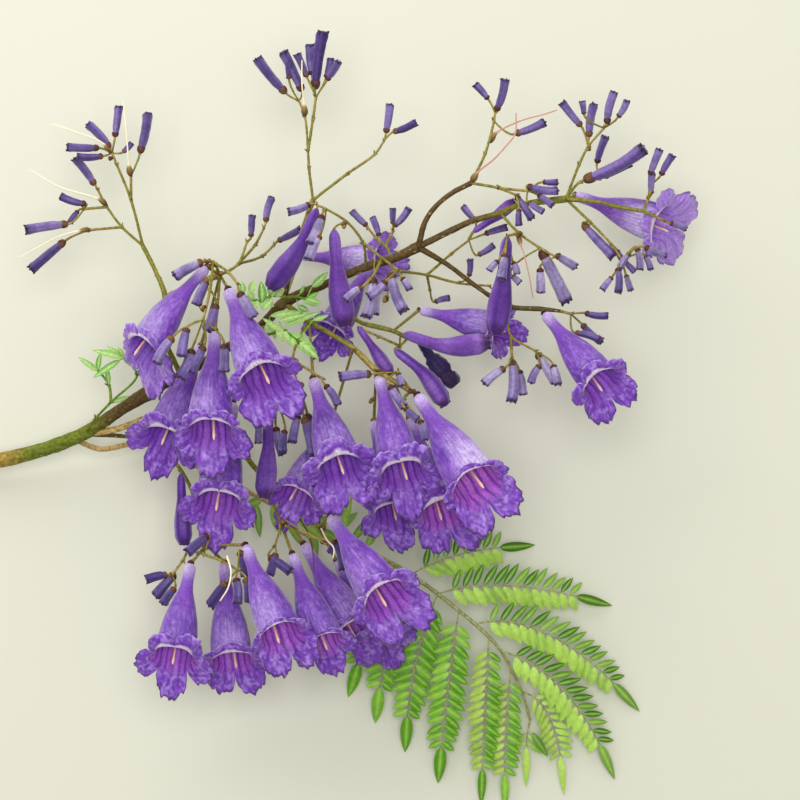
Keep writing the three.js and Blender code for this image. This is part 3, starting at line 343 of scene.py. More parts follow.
# Masses: name, how pale its buds are, its twigs' routes, its buds as foot and tip with perhaps a height, and
# its full buds, closed and as long as a flower
MASSES = (
    ("top_left_side_spray", 0.45,
     ((TOP_LEFT_TIP, (122, 227, 46), (107, 207, 47), (98, 190, 48)), ((122, 227, 46), (90, 230, 44)),
      ((107, 207, 47), (84, 209, 46))),
     ((95, 185, 75, 158), (68, 224, 25, 230), (65, 241, 31, 270), (86, 204, 60, 196), (78, 211, 70, 223)),
     ()),
    ("top_left_upper_spray", 0.4,
     ((TOP_LEFT_TIP, (131, 200, 50), (117, 165, 52), (112, 153, 52)), ((131, 200, 50), (131, 176, 51))),
     ((99, 148, 67, 147), (103, 156, 77, 157), (110, 148, 88, 124), (115, 137, 119, 106),
      (123, 152, 132, 143),
      (140, 153, 148, 113)), ()),
    ("top_spray", 0.3,
     ((TOP_TIP, (309, 168, 61), (308, 151, 62), (305, 117, 63), (299, 101, 63)),
      ((308, 151, 62), (313, 119, 63), (316, 97, 63)), (TOP_TIP, (347, 174, 61), (375, 154, 62),
       (384, 141, 62))),
     ((286, 93, 257, 58), (289, 79, 289, 60), (302, 91, 283, 51), (307, 77, 297, 54), (315, 89, 323, 31),
      (312, 75, 310, 44), (326, 78, 331, 58), (327, 80, 339, 61), (386, 133, 390, 104),
      (393, 132, 416, 122)), ()),
    ("arch_spray", 0.95,
     ((STEM_ARCH, (363, 243, 60), (347, 222, 64), (326, 209, 66), (317, 205, 66)),
      ((363, 243, 60), (382, 258, 60), (398, 270, 59))),
     ((310, 204, 288, 212), (322, 215, 310, 245, 74), (320, 235, 308, 260, 76), (362, 287, 345, 300, 76),
      (391, 273, 404, 312), (402, 278, 410, 290), (373, 278, 366, 318, 66), (386, 281, 368, 297, 70),
      (378, 290, 375, 315, 60)),
     (((317, 209, 67), (300, 246, 68), (270, 288, 64)), ((334, 230, 66), (338, 280, 66), (345, 326, 64)))),
    ("crook_spray", 0.4,
     ((CROOK_TIP, (485, 154, 64), (494, 121, 64), (495, 113, 64)), (CROOK_TIP, (498, 188, 64),
       (516, 195, 64)),
      ((498, 188, 64), (528, 191, 65))),
     ((488, 99, 475, 84), (496, 111, 505, 79), (515, 134, 545, 122), (527, 186, 558, 191),
      (543, 182, 558, 182),
      (516, 196, 532, 219), (528, 202, 544, 212), (538, 195, 553, 206), (519, 209, 519, 226, 65)), ()),
    ("tip_upper_spray", 0.5,
     ((TIP_FORK, (579, 165, 62), (588, 147, 63), (604, 128, 64)),),
     ((581, 126, 562, 102), (584, 114, 582, 101), (589, 137, 594, 104), (607, 124, 614, 92),
      (618, 117, 627, 100)), ()),
    ("tip_middle_spray", 0.45,
     ((TIP_FORK, (580, 182, 63), (601, 179, 64)),),
     ((597, 163, 606, 136), (584, 180, 645, 148, 64), (604, 177, 631, 163)), ()),
    ("tip_end_spray", 0.4,
     ((TIP_END, (652, 215, 64), (662, 220, 64)), (TIP_END, (648, 199, 65)),
      ((648, 199, 65), (652, 184, 65))),
     ((670, 223, 686, 229), (651, 194, 652, 173), (650, 175, 660, 149), (661, 175, 673, 155)), ()),
    ("tip_hanging_spray", 0.7,
     ((TIP_FORK, (590, 222, 60), (611, 244, 60), (622, 260, 60)),),
     ((617, 250, 625, 262), (630, 253, 620, 268), (637, 248, 640, 270), (645, 256, 651, 270),
      (645, 247, 666, 256, 67), (618, 268, 618, 293), (612, 277, 602, 290), (626, 275, 631, 291),
      (625, 262, 635, 272), (583, 224, 614, 257, 57)), ()),
    ("hanging_cluster", 0.95,
     ((HANGING_FORK, (519, 233, 62), (540, 248, 63), (556, 257, 63)), ((519, 233, 62), (507, 236, 66))),
     ((541, 250, 567, 302), (556, 255, 576, 267), (540, 268, 541, 293), (505, 254, 501, 280, 76),
      (513, 262, 517, 274), (512, 276, 520, 283, 60), (498, 261, 489, 271, 74)),
     (((507, 237, 66), (502, 290, 68), (495, 334, 66)),)),
    ("hanging_spray", 0.9,
     ((LOW_RIGHT_KNOT, (508, 325, 54), (511, 336, 54), (535, 351, 54)), ((511, 336, 54), (512, 358, 54))),
     ((537, 353, 556, 383), (540, 365, 531, 383), (553, 365, 558, 385), (512, 360, 512, 402),
      (519, 370, 523, 395), (505, 368, 484, 384)), ()),
    ("low_right_spray", 0.35,
     ((LOW_RIGHT_TIP, (571, 314, 57)),),
     ((585, 313, 608, 316), (582, 324, 602, 342), (575, 333, 600, 340)), ()),
    ("inner_cluster", 0.5,
     ((INNER_TIP, (420, 342, 46)), (INNER_TIP, (400, 346, 50)), ((400, 346, 50), (380, 337, 51),
       (362, 329, 51))),
     ((420, 342, 455, 386, 42),),
     (((404, 334, 54), (446, 346, 56), (489, 343, 54)), ((395, 350, 52), (424, 374, 52), (446, 405, 50)),
      ((358, 327, 51), (371, 345, 51), (391, 375, 50)))),
    ("left_column_buds", 0.75,
     ((COLUMN_TIP, (213, 262, 68), (206, 261, 70)), ((213, 262, 68), (210, 290, 82), (203, 320, 88)),
      ((213, 262, 68), (228, 272, 78), (238, 284, 83))),
     ((203, 262, 174, 277, 72), (208, 279, 196, 305, 78), (216, 304, 206, 330, 80), (173, 337, 156, 364, 88),
      (192, 349, 180, 378, 84), (204, 346, 190, 372, 84), (224, 344, 224, 372, 84), (239, 292, 254, 317, 84),
      (187, 328, 181, 357, 88)), ()),
    ("middle_buds", 0.6,
     ((MIDDLE_START, (296, 345, 62), (293, 360, 63), (299, 392, 66)), ((293, 360, 63), (323, 379, 68)),
      ((299, 392, 66), (278, 405, 62))),
     ((307, 414, 312, 454, 56), (304, 417, 314, 455, 66), (298, 415, 292, 443), (285, 430, 283, 452),
      (276, 427, 283, 455, 58), (259, 424, 259, 443), (325, 385, 338, 405, 78)),
     (((268, 414, 58), (268, 455, 58), (264, 498, 58)),)),
    ("middle_right_buds", 0.75,
     ((MIDDLE_TIP, (404, 400, 72), (413, 412, 78)), (MIDDLE_TIP, (398, 372, 66))),
     ((371, 374, 339, 377, 70), (390, 385, 405, 407, 76), (405, 408, 418, 420, 80), (420, 420, 426, 440, 79),
      (398, 373, 402, 386, 70)), ()),
    ("lower_row_buds", 0.2,
     ((LOWER_NODE, (270, 499, 42), (280, 523, 50), (275, 546, 58)),
      ((280, 523, 50), (308, 536, 56), (332, 541, 57))),
     ((269, 557, 291, 572), (276, 553, 270, 575), (336, 539, 344, 570), (335, 541, 330, 553)), ()),
    ("lower_left_buds", 0.2,
     ((LOWER_LEFT_TIP, (204, 554, 58), (222, 561, 62), (238, 570, 62)),
      ((190, 546, 40), (183, 560, 41), (172, 575, 42)),
      ((204, 554, 58), (190, 546, 40), (185, 515, 38), (181, 472, 42))),
     ((167, 575, 146, 580), (175, 574, 155, 596), (175, 588, 163, 604), (226, 582, 210, 606),
      (236, 578, 237, 604),
      (246, 578, 249, 602), (240, 551, 246, 576), (208, 535, 187, 553)),
     (((181, 474, 45), (182, 508, 46), (184, 545, 46)),)),
    ("back_left_spray", 0.5,
     ((COLUMN_TIP, (238, 264, 50), (247, 242, 40)), ((238, 264, 50), (255, 245, 38), (264, 228, 34)),
      ((238, 264, 50), (262, 256, 34), (274, 245, 28))),
     ((266, 222, 272, 197), (251, 237, 252, 215), (278, 241, 301, 229)), ()),
    ("back_middle_spray", 0.5,
     (((392, 259, 55), (386, 246, 44), (376, 238, 38), (369, 229, 34)), ((386, 246, 44), (393, 231, 36))),
     ((367, 226, 352, 211), (379, 236, 372, 217), (393, 224, 393, 208), (394, 226, 409, 208)), ()),
    ("back_right_spray", 0.5,
     (((399, 271, 58.5), (427, 275, 50), (458, 283, 46), (490, 286, 44)),
      ((427, 275, 50), (451, 254, 46), (469, 240, 44)), ((427, 275, 50), (430, 290, 40))),
     ((475, 220, 463, 206), (485, 234, 507, 227), (478, 255, 494, 245), (469, 276, 470, 259),
      (435, 302, 450, 298)),
     (((473, 232, 44), (495, 217, 45), (515, 201, 46)),)),
)
WITHERED_BUD = ("inner_cluster", 0)

LEAF_STALK = ((76, 440, 17), (100, 449, 14), (143, 444, 12), (220, 478, 12), (310, 524, 14))
LEAF_STALK_RADII = (1.2, 1.1, 1.05, 1.0, 0.95)
LEAF_RIB = ((395, 565, 18), (411, 575, 18.5), (438, 594, 19), (459, 611, 18.5), (475, 624, 18),
 (489, 637, 17),
            (501, 651, 15), (511, 669, 12), (522, 692, 9), (530, 720, 5))
LEAF_RIB_RADII = (0.9, 0.88, 0.85, 0.82, 0.8, 0.75, 0.7, 0.65, 0.6, 0.5)

# The sides of a pinna: green and width of its left and of its right leaflets, and width of the end leaflet
SHADED = ((LEAF_DARK, 2.9), (LEAF_LIGHT, 4.0), 3.6)
EVEN = ((LEAF_GREEN, 3.7), (LEAF_MID, 3.7), 4.6)
THIN = ((LEAF_GREEN, 3.4), (LEAF_THIN, 3.4), 3.2)
YELLOW = ((LEAF_LIGHT, 3.0), (LEAF_THIN, 3.0), 2.6)

# Each pinna of the leaf: its place on the rib, its middle and its tip, its sides, and how large and how far
# apart its leaflets are
PINNAE = (
    (1, (450, 548, 20), (536, 545, 1), SHADED, 0.94),
    (2, (500, 572, 20), (613, 606, 1), SHADED, 0.94),
    (4, (550, 606, 18), (640, 712, 1), SHADED, 0.94),
    (6, (575, 672, 15), (615, 780, 1), SHADED, 0.94),
    (8, (560, 700, 10), (564, 796, 1), YELLOW, 0.72),
    (0, (372, 620, 17), (348, 698, 1), EVEN, 0.88),
    (1, (384, 640, 18), (375, 724, 1), EVEN, 0.88),
    (2, (408, 660, 18), (405, 753, 1), EVEN, 0.88),
    (3, (446, 690, 18), (438, 784, 1), EVEN, 0.86),
    (5, (484, 720, 16), (481, 806, 1), THIN, 0.75),
    (7, (503, 740, 12), (505, 812, 1), THIN, 0.75),
    (9, (524, 745, 5), (526, 788, 1), YELLOW, 0.72),
)

# Leaflets apart from the pinnae, under the rib's end and along the stalk: foot and tip, height, width and
# how light they are
LONE_LEAFLETS = (
    (532, 732, 548, 757, 9, 3.0, 0.0), (262, 500, 244, 506, 13, 3.4, 0.3),
    (262, 500, 284, 492, 13, 3.2, 0.2),
    (256, 503, 260, 538, 13, 3.2, 0.1), (272, 505, 281, 536, 14, 3.6, 0.4),
    (270, 504, 292, 522, 15, 3.4, 0.6),
    (288, 513, 300, 545, 14, 3.6, 0.35), (292, 515, 316, 502, 15, 3.4, 0.2),
    (298, 518, 322, 538, 16, 3.8, 0.55),
    (308, 523, 318, 556, 15, 3.6, 0.3), (312, 525, 338, 516, 16, 3.4, 0.45),
    (318, 528, 344, 543, 16, 3.6, 0.25),
    (334, 532, 358, 512, 16, 3.4, 0.3), (352, 541, 372, 516, 17, 3.2, 0.2),
    (340, 536, 352, 496, 16, 3.2, 0.5),
    (366, 548, 382, 520, 17, 3.2, 0.35),
)

# Young leaves: name, their stalks' routes, and leaflets as foot, tip, width in pixels and how pale they are
YOUNG_LEAVES = (
    ("young_leaf_left",
     ((STEM_LOW, (96, 418, 32), (111, 402, 36), (137, 375, 38), (124, 358, 38)),
      ((111, 402, 36), (109, 385, 36), (98, 370, 36))),
     ((124, 358, 92, 350, 7, 0.6), (120, 360, 93, 378, 7, 0.3), (124, 358, 141, 350, 6, 0.5),
      (124, 358, 135, 367, 7, 0.3), (124, 358, 107, 346, 6, 0.7), (98, 370, 78, 357, 6, 0.6),
      (109, 385, 106, 365, 5, 0.3), (111, 402, 130, 396, 5, 0.5), (98, 370, 101, 352, 6, 0.2),
      (98, 370, 88, 366, 5, 0.8), (137, 375, 147, 362, 5, 0.3), (124, 358, 118, 347, 5, 0.5))),
    ("young_leaves_middle",
     ((STEM_MIDDLE, (268, 334, 55), (284, 331, 60), (298, 341, 62)),),
     ((270, 316, 304, 312, 7, 0.7), (279, 321, 308, 314, 6, 0.5), (285, 326, 321, 312, 7, 0.5),
      (313, 320, 329, 315, 5, 0.6), (289, 333, 319, 359, 13, 0.55), (284, 331, 290, 345, 7, 0.9),
      (278, 327, 283, 342, 7, 1.0), (273, 324, 275, 339, 7, 0.9), (268, 322, 267, 336, 6, 1.0),
      (292, 338, 296, 349, 6, 0.8), (268, 334, 259, 345, 5, 0.8), (284, 331, 262, 318, 6, 0.9))),
    ("young_leaves_upper",
     ((STEM_FORK, (284, 297, 56), (271, 296, 57), (258, 301, 57), (247, 297, 57)),
      ((284, 297, 56), (296, 297, 59), (306, 299, 61))),
     ((244, 293, 242, 282, 7, 0.4), (250, 293, 254, 280, 8, 0.9), (262, 303, 261, 281, 9, 0.1),
      (273, 296, 269, 284, 7, 0.3), (275, 296, 285, 289, 6, 0.9), (254, 299, 247, 292, 7, 0.8),
      (263, 310, 273, 299, 8, 0.6), (258, 301, 246, 305, 7, 0.8), (312, 287, 328, 272, 8, 0.4),
      (300, 294, 305, 285, 4, 0.1), (307, 298, 319, 292, 5, 0.2), (304, 301, 319, 306, 6, 0.4),
      (298, 306, 309, 311, 6, 0.1), (306, 299, 321, 303, 6, 0.5), (271, 297, 280, 285, 5, 0.5),
      (258, 301, 253, 311, 6, 0.9), (266, 300, 274, 307, 6, 0.8))),
)

# Dry styles that hang on after the flowers fell: colour, radius, radius of the knob at their foot, and route
STYLES = (
    (STYLE_CREAM, 0.34, 0.8, ((91, 230, 44), (84, 230, 45), (60, 236, 46), (35, 249, 46), (21, 257, 45))),
    (STYLE_CREAM, 0.34, 0.95, ((107, 206, 47), (101, 200, 48), (90, 196, 49), (60, 187, 50), (30, 170, 49))),
    (STYLE_CREAM, 0.3, 1.15, ((131, 177, 51), (129, 167, 52), (127, 140, 54), (123, 99, 54))),
    (STYLE_CREAM, 0.3, 1.25, ((305, 117, 63), (304, 104, 64), (302, 84, 66), (302, 60, 66))),
    (STYLE_CREAM, 0.3, 0.9, ((112, 153, 52), (101, 142, 54), (76, 132, 55), (52, 124, 54))),
    (STYLE_PINK, 0.3, 1.05, ((490, 143, 63), (495, 134, 64), (520, 121, 66), (545, 114, 66),
                             (557, 110, 65))),
    (STYLE_PINK, 0.34, 1.2, ((471, 183, 63), (478, 172, 64), (493, 160, 67), (505, 147, 68), (515, 134, 68),
                             (516, 113, 66))),
    (STYLE_PINK, 0.28, 0.9, ((518, 234, 63), (520, 242, 64), (525, 258, 68), (530, 280, 68),
                             (533, 298, 66))),
    (SCAR, 0.3, 0, ((304, 504, 38), (299, 515, 44), (308, 533, 52), (313, 553, 58), (314, 572, 59))),
    (TWIG_TAN, 0.3, 0, ((285, 520, 51), (302, 530, 60), (318, 539, 62), (326, 545, 61))),
    (TWIG_TAN, 0.25, 0, ((390, 264, 60), (390, 278, 56), (387, 298, 51))),
    (TWIG_TAN, 0.25, 0, ((375, 259, 56), (374, 268, 60), (375, 277, 62))),
    (STYLE_CREAM, 0.32, 0, ((321, 528, 50), (327, 540, 62), (334, 549, 68), (333, 558, 68))),
    (STYLE_CREAM, 0.34, 0, ((227, 556, 63), (231, 572, 66), (228, 588, 67), (220, 601, 66))),
)
KNOB_LENGTH = 5.0

# Brown stubs of fallen flowers: place and size
STUBS = ((387, 300, 50, 1.4), (345, 225, 66, 1.3), (205, 307, 86, 1.5), (300, 387, 67, 1.5),
         (372, 400, 60, 1.2), (285, 522, 51, 1.5), (321, 528, 50, 1.5), (412, 392, 66, 1.2),
         (207, 262, 71, 1.3), (296, 361, 65, 1.3), (588, 148, 64, 1.0), (519, 235, 64, 1.2),
         (112, 158, 52, 1.1), (499, 187, 64, 0.9), (213, 265, 68, 1.5), (219, 273, 64, 1.3),
         (399, 376, 66, 1.2), (354, 350, 61, 1.2), (377, 371, 63, 1.3), (263, 476, 34, 1.2),
         (205, 547, 50, 1.2), (322, 543, 60, 1.0))


def at(place):
    """A place as a point of the branch."""
    u, v, height = place
    scale = GROUND_SCALE * (1 - height / VIEW_HEIGHT)
    x = (u - PICTURE_MIDDLE) * scale - MIDDLE[0]
    y = (PICTURE_MIDDLE - v) * scale - MIDDLE[1]
    return np.array([x, y, height])


def seeded(seed):
    """Random numbers from 0 to 1, the same as the model's."""
    state = seed
    while True:
        state = (state * 1664525 + 1013904223) % 4294967296
        yield state / 4294967296


def unit(vectors):
    """Vectors brought to length 1."""
    return vectors / np.maximum(np.linalg.norm(vectors, axis=-1, keepdims=True), 1e-9)


def smooth_step(low, high, values):
    """0 below low, 1 above high and a soft rise between."""
    part = np.clip((values - low) / (high - low), 0, 1)
    return part * part * (3 - 2 * part)


def mix(first, second, part):
    """The first colour where part is 0, the second where it is 1."""
    part = np.asarray(part)[..., None]
    return first * (1 - part) + second * part


def stations(profile, part):
    """The value at part of a profile, which is given as rows of place and value."""
    return np.interp(part, *zip(*profile))


def distances(points):
    """How far along a route each of its points is."""
    return np.concatenate([[0], np.cumsum(np.linalg.norm(np.diff(points, axis=0), axis=1))])


def round_angles(sides):
    """The angle of each side of a ring."""
    return np.arange(sides) / sides * 2 * math.pi


def lattice(cells, seed):
    """A number from 0 to 1 for each whole-number cell."""
    cells = cells.astype(np.int64)
    mixed = cells[..., 0] * 374761393 + cells[..., 1] * 668265263 + cells[..., 2] * 2147483647
    mixed = mixed + seed * 144665
    mixed = (mixed ^ (mixed >> 13)) * 1274126177
    return ((mixed ^ (mixed >> 16)) & 0xFFFF) / 65535.0


def noise(points, scale, seed=0):
    """Smooth noise from -1 to 1 at points, with bumps about scale wide."""
    points = np.asarray(points, float) / scale
    cell = np.floor(points)
    part = points - cell
    part = part * part * (3 - 2 * part)
    total = 0
    for corner in range(8):
        step = np.array([corner & 1, (corner >> 1) & 1, corner >> 2])
        weight = np.prod(np.where(step, part, 1 - part), axis=-1)
        total = total + weight * lattice(cell + step, seed)
    return total * 2 - 1


def any_noise(points, scale, rng):
    """Noise with a seed drawn from rng."""
    return noise(points, scale, int(rng.integers(1000)))


def curve_points(places, step):
    """A smooth curve through places in steps of about step, with the share of the places at each point."""
    points = [at(place) for place in places]
    points = [2 * points[0] - points[1], *points, 2 * points[-1] - points[-2]]
    out, shares = [], []
    for span in range(1, len(points) - 2):
        before, start, end, after = points[span - 1:span + 3]
        first, second, third = (np.linalg.norm(b - a) ** 0.5 for a, b in
                                ((before, start), (start, end), (end, after)))
        along = (end - start) / second
        leave = ((start - before) / first - (end - before) / (first + second) + along) * second
        arrive = (along - (after - start) / (second + third) + (after - end) / third) * second
        count = max(2, int(round(np.linalg.norm(end - start) / step)))
        for index in range(count):
            t = index / count
            out.append((2 * t ** 3 - 3 * t ** 2 + 1) * start + (t ** 3 - 2 * t ** 2 + t) * leave
                       + (3 * t ** 2 - 2 * t ** 3) * end + (t ** 3 - t ** 2) * arrive)
            shares.append(span - 1 + t)
    out.append(points[-2])
    shares.append(len(points) - 3)
    return np.array(out), np.array(shares)


def smooth_profile(profile):
    """A profile with its corners rounded, as a function of the place along."""
    fine = np.linspace(0, 1, PROFILE_STEPS)
    values = stations(profile, fine)
    window = np.hanning(2 * PROFILE_SOFTNESS + 1)
    after = 2 * values[-1] - values[-2:-PROFILE_SOFTNESS - 2:-1]
    padded = np.concatenate([np.full(PROFILE_SOFTNESS, values[0]), values, after])
    values = np.convolve(padded, window / window.sum(), "valid")
    return lambda along: np.interp(along, fine, values)


class Piece:
    """Points, faces, colours, coordinates and material slots that become one mesh."""

    def __init__(self):
        self.points, self.faces, self.colours, self.maps, self.slots = [], [], [], [], []
        self.count = 0

    def add(self, points, faces, colours, maps=None, slot=0):
        points = np.asarray(points, float).reshape(-1, 3)
        self.points.append(points)
        self.colours.append(np.broadcast_to(colours, points.shape))
        self.maps.append(np.zeros((len(points), 2)) if maps is None else maps.reshape(-1, 2))
        self.faces += [tuple(corner + self.count for corner in face) for face in faces]
        self.slots += [slot] * len(faces)
        self.count += len(points)


def grid_faces(rows, columns, closed=True):
    """Quads over rows of points. In closed rows the last point meets the first."""
    faces = []
    for row in range(rows - 1):
        for column in range(columns if closed else columns - 1):
            after = (column + 1) % columns
            low, high = row * columns, (row + 1) * columns
            faces.append((low + column, low + after, high + after, high + column))
    return faces


def turned(faces):
    """The same faces seen from their other side."""
    return [face[::-1] for face in faces]


def fan(sides):
    """The triangles from a ring's sides to the point that comes after them."""
    return [(side, (side + 1) % sides, sides) for side in range(sides)]


def frames_along(points, square=False):
    """The tangents of a route, and two directions across it that don't twist. square starts it along X."""
    tangents = unit(np.gradient(points, axis=0))
    if square:
        tangents[0] = (1, 0, 0)
    normal = UP if abs(tangents[0][2]) < 0.9 else np.array([0.0, 1.0, 0.0])
    normals = []
    for tangent in tangents:
        normal = normal - tangent * normal.dot(tangent)
        normal = normal / np.linalg.norm(normal)
        normals.append(normal)
    normals = np.array(normals)
    return tangents, normals, np.cross(tangents, normals)


def outward_at(frames, index, angle):
    """The direction out of a route at one of its points."""
    _, normals, across = frames
    return normals[index] * math.cos(angle) + across[index] * math.sin(angle)


def ring_directions(frames, sides):
    """The directions out of a route at each of its points, one for each side of a tube."""
    _, normals, across = frames
    angles = round_angles(sides)
    return normals[:, None] * np.cos(angles)[None, :, None] + across[:, None] * np.sin(angles)[None, :, None]


def ring_maps(sides, along):
    """Coordinates round and along a tube."""
    return np.stack(np.broadcast_arrays(round_angles(sides)[None] / (2 * math.pi), along[:, None]), -1)


def tube(piece, points, radii, sides, colours, slot=0, relief=None, square=False):
    """A round limb with flat ends. relief(places, radii) gives the height of its bark."""
    outward = ring_directions(frames_along(points, square), sides)
    radii = np.broadcast_to(radii, len(points))[:, None, None]
    places = points[:, None] + outward * radii
    if relief is not None:
        places = places + outward * relief(places, radii[..., 0])[..., None]
    colours = np.broadcast_to(np.asarray(colours), (len(points), 3))
    shown = np.broadcast_to(colours[:, None], places.shape)
    last = (len(points) - 1) * sides
    ends = [tuple(range(sides)), tuple(last + side for side in reversed(range(sides)))]
    faces = turned(grid_faces(len(points), sides)) + ends
    piece.add(places, faces, shown.reshape(-1, 3), ring_maps(sides, distances(points) / MAP_LENGTH), slot)


def outline_tube(piece, points, radii, sides, colours, slot=0, crimp=None):
    """A tube closed by the middle of each end ring, for buds and blobs. crimp(angles) scales each ring's
    sides. The colours are one for each ring, or one for each side of each ring."""
    radii = np.asarray(radii)[:, None]
    if crimp is not None:
        radii = radii * crimp(round_angles(sides)[None])
    places = points[:, None] + ring_directions(frames_along(points), sides) * radii[..., None]
    colours = np.asarray(colours)
    shown = np.broadcast_to(colours[:, None] if colours.ndim == 2 else colours, places.shape)
    maps = ring_maps(sides, np.linspace(0, 1, len(points)))
    piece.add(places, turned(grid_faces(len(points), sides)), shown.reshape(-1, 3), maps, slot)
    for ring, centre, faces in ((0, points[0], fan(sides)), (-1, points[-1], turned(fan(sides)))):
        piece.add(np.vstack([places[ring], centre[None]]), faces, shown[ring].mean(0), None, slot)


def mesh_piece(name, piece, materials, node):
    """Makes a piece a mesh object, which takes the place of a CAD node."""
    mesh = bpy.data.meshes.new(name)
    points = np.vstack(piece.points) / METRE
    mesh.from_pydata(points.tolist(), [], piece.faces)
    for material in materials:
        mesh.materials.append(material)
    mesh.polygons.foreach_set("material_index", piece.slots)
    mesh.polygons.foreach_set("use_smooth", [True] * len(piece.faces))
    colours = np.vstack(piece.colours)
    layer = mesh.color_attributes.new("tint", "FLOAT_COLOR", "POINT")
    layer.data.foreach_set("color", np.hstack([colours, np.ones((len(colours), 1))]).ravel())
    maps = np.vstack(piece.maps)
    corners = np.zeros(len(mesh.loops), int)
    mesh.loops.foreach_get("vertex_index", corners)
    mesh.uv_layers.new(name="grain").data.foreach_set("uv", maps[corners].ravel())
    mesh.update()
    mesh.validate()
    made = bpy.data.objects.new(name, mesh)
    bpy.context.scene.collection.objects.link(made)
    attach(made, "root")
    if node:
        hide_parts(node)


def set_values(node, values):
    """Sets the inputs of a shader node."""
    for name, value in values.items():
        node.inputs[name].default_value = value


def new_material(name, roughness, sheen=0.0, sheen_tint=(1, 1, 1), subsurface=0.0):
    """A material that shows the mesh's tint, with the nodes and links to add its grain to."""
    made = bpy.data.materials.new(name)
    made.use_nodes = True
    nodes, links = made.node_tree.nodes, made.node_tree.links
    shader = nodes["Principled BSDF"]
    set_values(shader, {"Roughness": roughness, "Sheen Weight": sheen, "Sheen Roughness": 0.5,
                        "Sheen Tint": (*sheen_tint, 1), "Subsurface Weight": subsurface,
                        "Subsurface Radius": (0.0012, 0.0008, 0.0016), "Subsurface Scale": 1.0,
                        "Specular IOR Level": 0.35})
    tint = nodes.new("ShaderNodeVertexColor")
    tint.layer_name = "tint"
    return made, nodes, links, shader, tint


def grain(nodes, links, coordinate, scale, low, high):
    """Noise in one coordinate system, and the same noise spread between low and high."""
    source = nodes.new("ShaderNodeTexCoord")
    mapping = nodes.new("ShaderNodeMapping")
    texture = nodes.new("ShaderNodeTexNoise")
    spread = nodes.new("ShaderNodeMapRange")
    set_values(mapping, {"Scale": scale})
    set_values(texture, {"Scale": 1.0, "Detail": 4.0, "Roughness": 0.6})
    set_values(spread, {"From Min": 0.3, "From Max": 0.7, "To Min": low, "To Max": high})
    links.new(source.outputs[coordinate], mapping.inputs["Vector"])
    links.new(mapping.outputs["Vector"], texture.inputs["Vector"])
    links.new(texture.outputs["Fac"], spread.inputs["Value"])
    return texture, spread


def scale_colour(nodes, links, colour, factor):
    """A colour output multiplied by a number output."""
    scaled = nodes.new("ShaderNodeVectorMath")
    scaled.operation = "SCALE"
    links.new(colour, scaled.inputs["Vector"])
    links.new(factor, scaled.inputs["Scale"])
    return scaled.outputs["Vector"]


def streaked(nodes, links, shader, tint, scale, low, high, bump, depth, coordinate="Object", speckle=None):
    """Multiplies the tint by streaks between low and high, and raises them as a fine relief, depth in
    metres. speckle adds a second grain that is the same in all directions: its scale, low and high."""
    texture, spread = grain(nodes, links, coordinate, scale, low, high)
    colour = scale_colour(nodes, links, tint.outputs["Color"], spread.outputs["Result"])
    if speckle:
        fine, least, most = speckle
        _, second = grain(nodes, links, "Object", (fine, fine, fine), least, most)
        colour = scale_colour(nodes, links, colour, second.outputs["Result"])
    links.new(colour, shader.inputs["Base Color"])
    relief = nodes.new("ShaderNodeBump")
    set_values(relief, {"Strength": bump, "Distance": depth})
    links.new(texture.outputs["Fac"], relief.inputs["Height"])
    links.new(relief.outputs["Normal"], shader.inputs["Normal"])


def petal_material():
    made, *parts = new_material("petal", 0.45, 0.4, (0.84, 0.78, 1.0), 0.4)
    streaked(*parts, scale=(90, 5, 1), low=0.74, high=1.22, bump=0.35, depth=0.0003, coordinate="UV",
             speckle=(1100, 0.76, 1.24))
    return made


def bud_material():
    made, *parts = new_material("bud_skin", 0.6, 0.45, (0.85, 0.82, 1.0))
    streaked(*parts, scale=(900, 900, 900), low=0.72, high=1.25, bump=0.4, depth=0.0002)
    return made


def bark_material():
    made, *parts = new_material("twig_bark", 0.62)
    streaked(*parts, scale=(700, 700, 700), low=0.5, high=1.45, bump=0.7, depth=0.0003)
    return made


def green_bark_material():
    made, *parts = new_material("green_twig_bark", 0.5)
    streaked(*parts, scale=(900, 900, 900), low=0.5, high=1.45, bump=0.5, depth=0.0002)
    return made


def leaf_material():
    made, *parts = new_material("leaflet", 0.42, 0.05, (0.9, 1.0, 0.8), 0.1)
    streaked(*parts, scale=(500, 500, 500), low=0.84, high=1.14, bump=0.25, depth=0.0002)
    return made


def young_leaf_material():
    made, *parts = new_material("young_leaflet", 0.45, 0.1, (0.9, 1.0, 0.8), 0.12)
    streaked(*parts, scale=(24, 1.5, 1), low=0.55, high=1.35, bump=0.6, depth=0.0004, coordinate="UV")
    return made


def rod_material():
    made, *parts = new_material("staminode", 0.5, 0.2)
    streaked(*parts, scale=(900, 900, 900), low=0.9, high=1.08, bump=0.3, depth=0.0002)
    return made


BELL = smooth_profile(BELL_PROFILE)
FULL_BUD_SHAPE = smooth_profile(FULL_BUD_PROFILE)


def ripples(waves, turn, look):
    """The sum of some waves round the corolla, each shifted by one of the flower's own numbers."""
    return sum(height * np.sin(turn * count + look[key] * times) for count, key, times, height in waves)


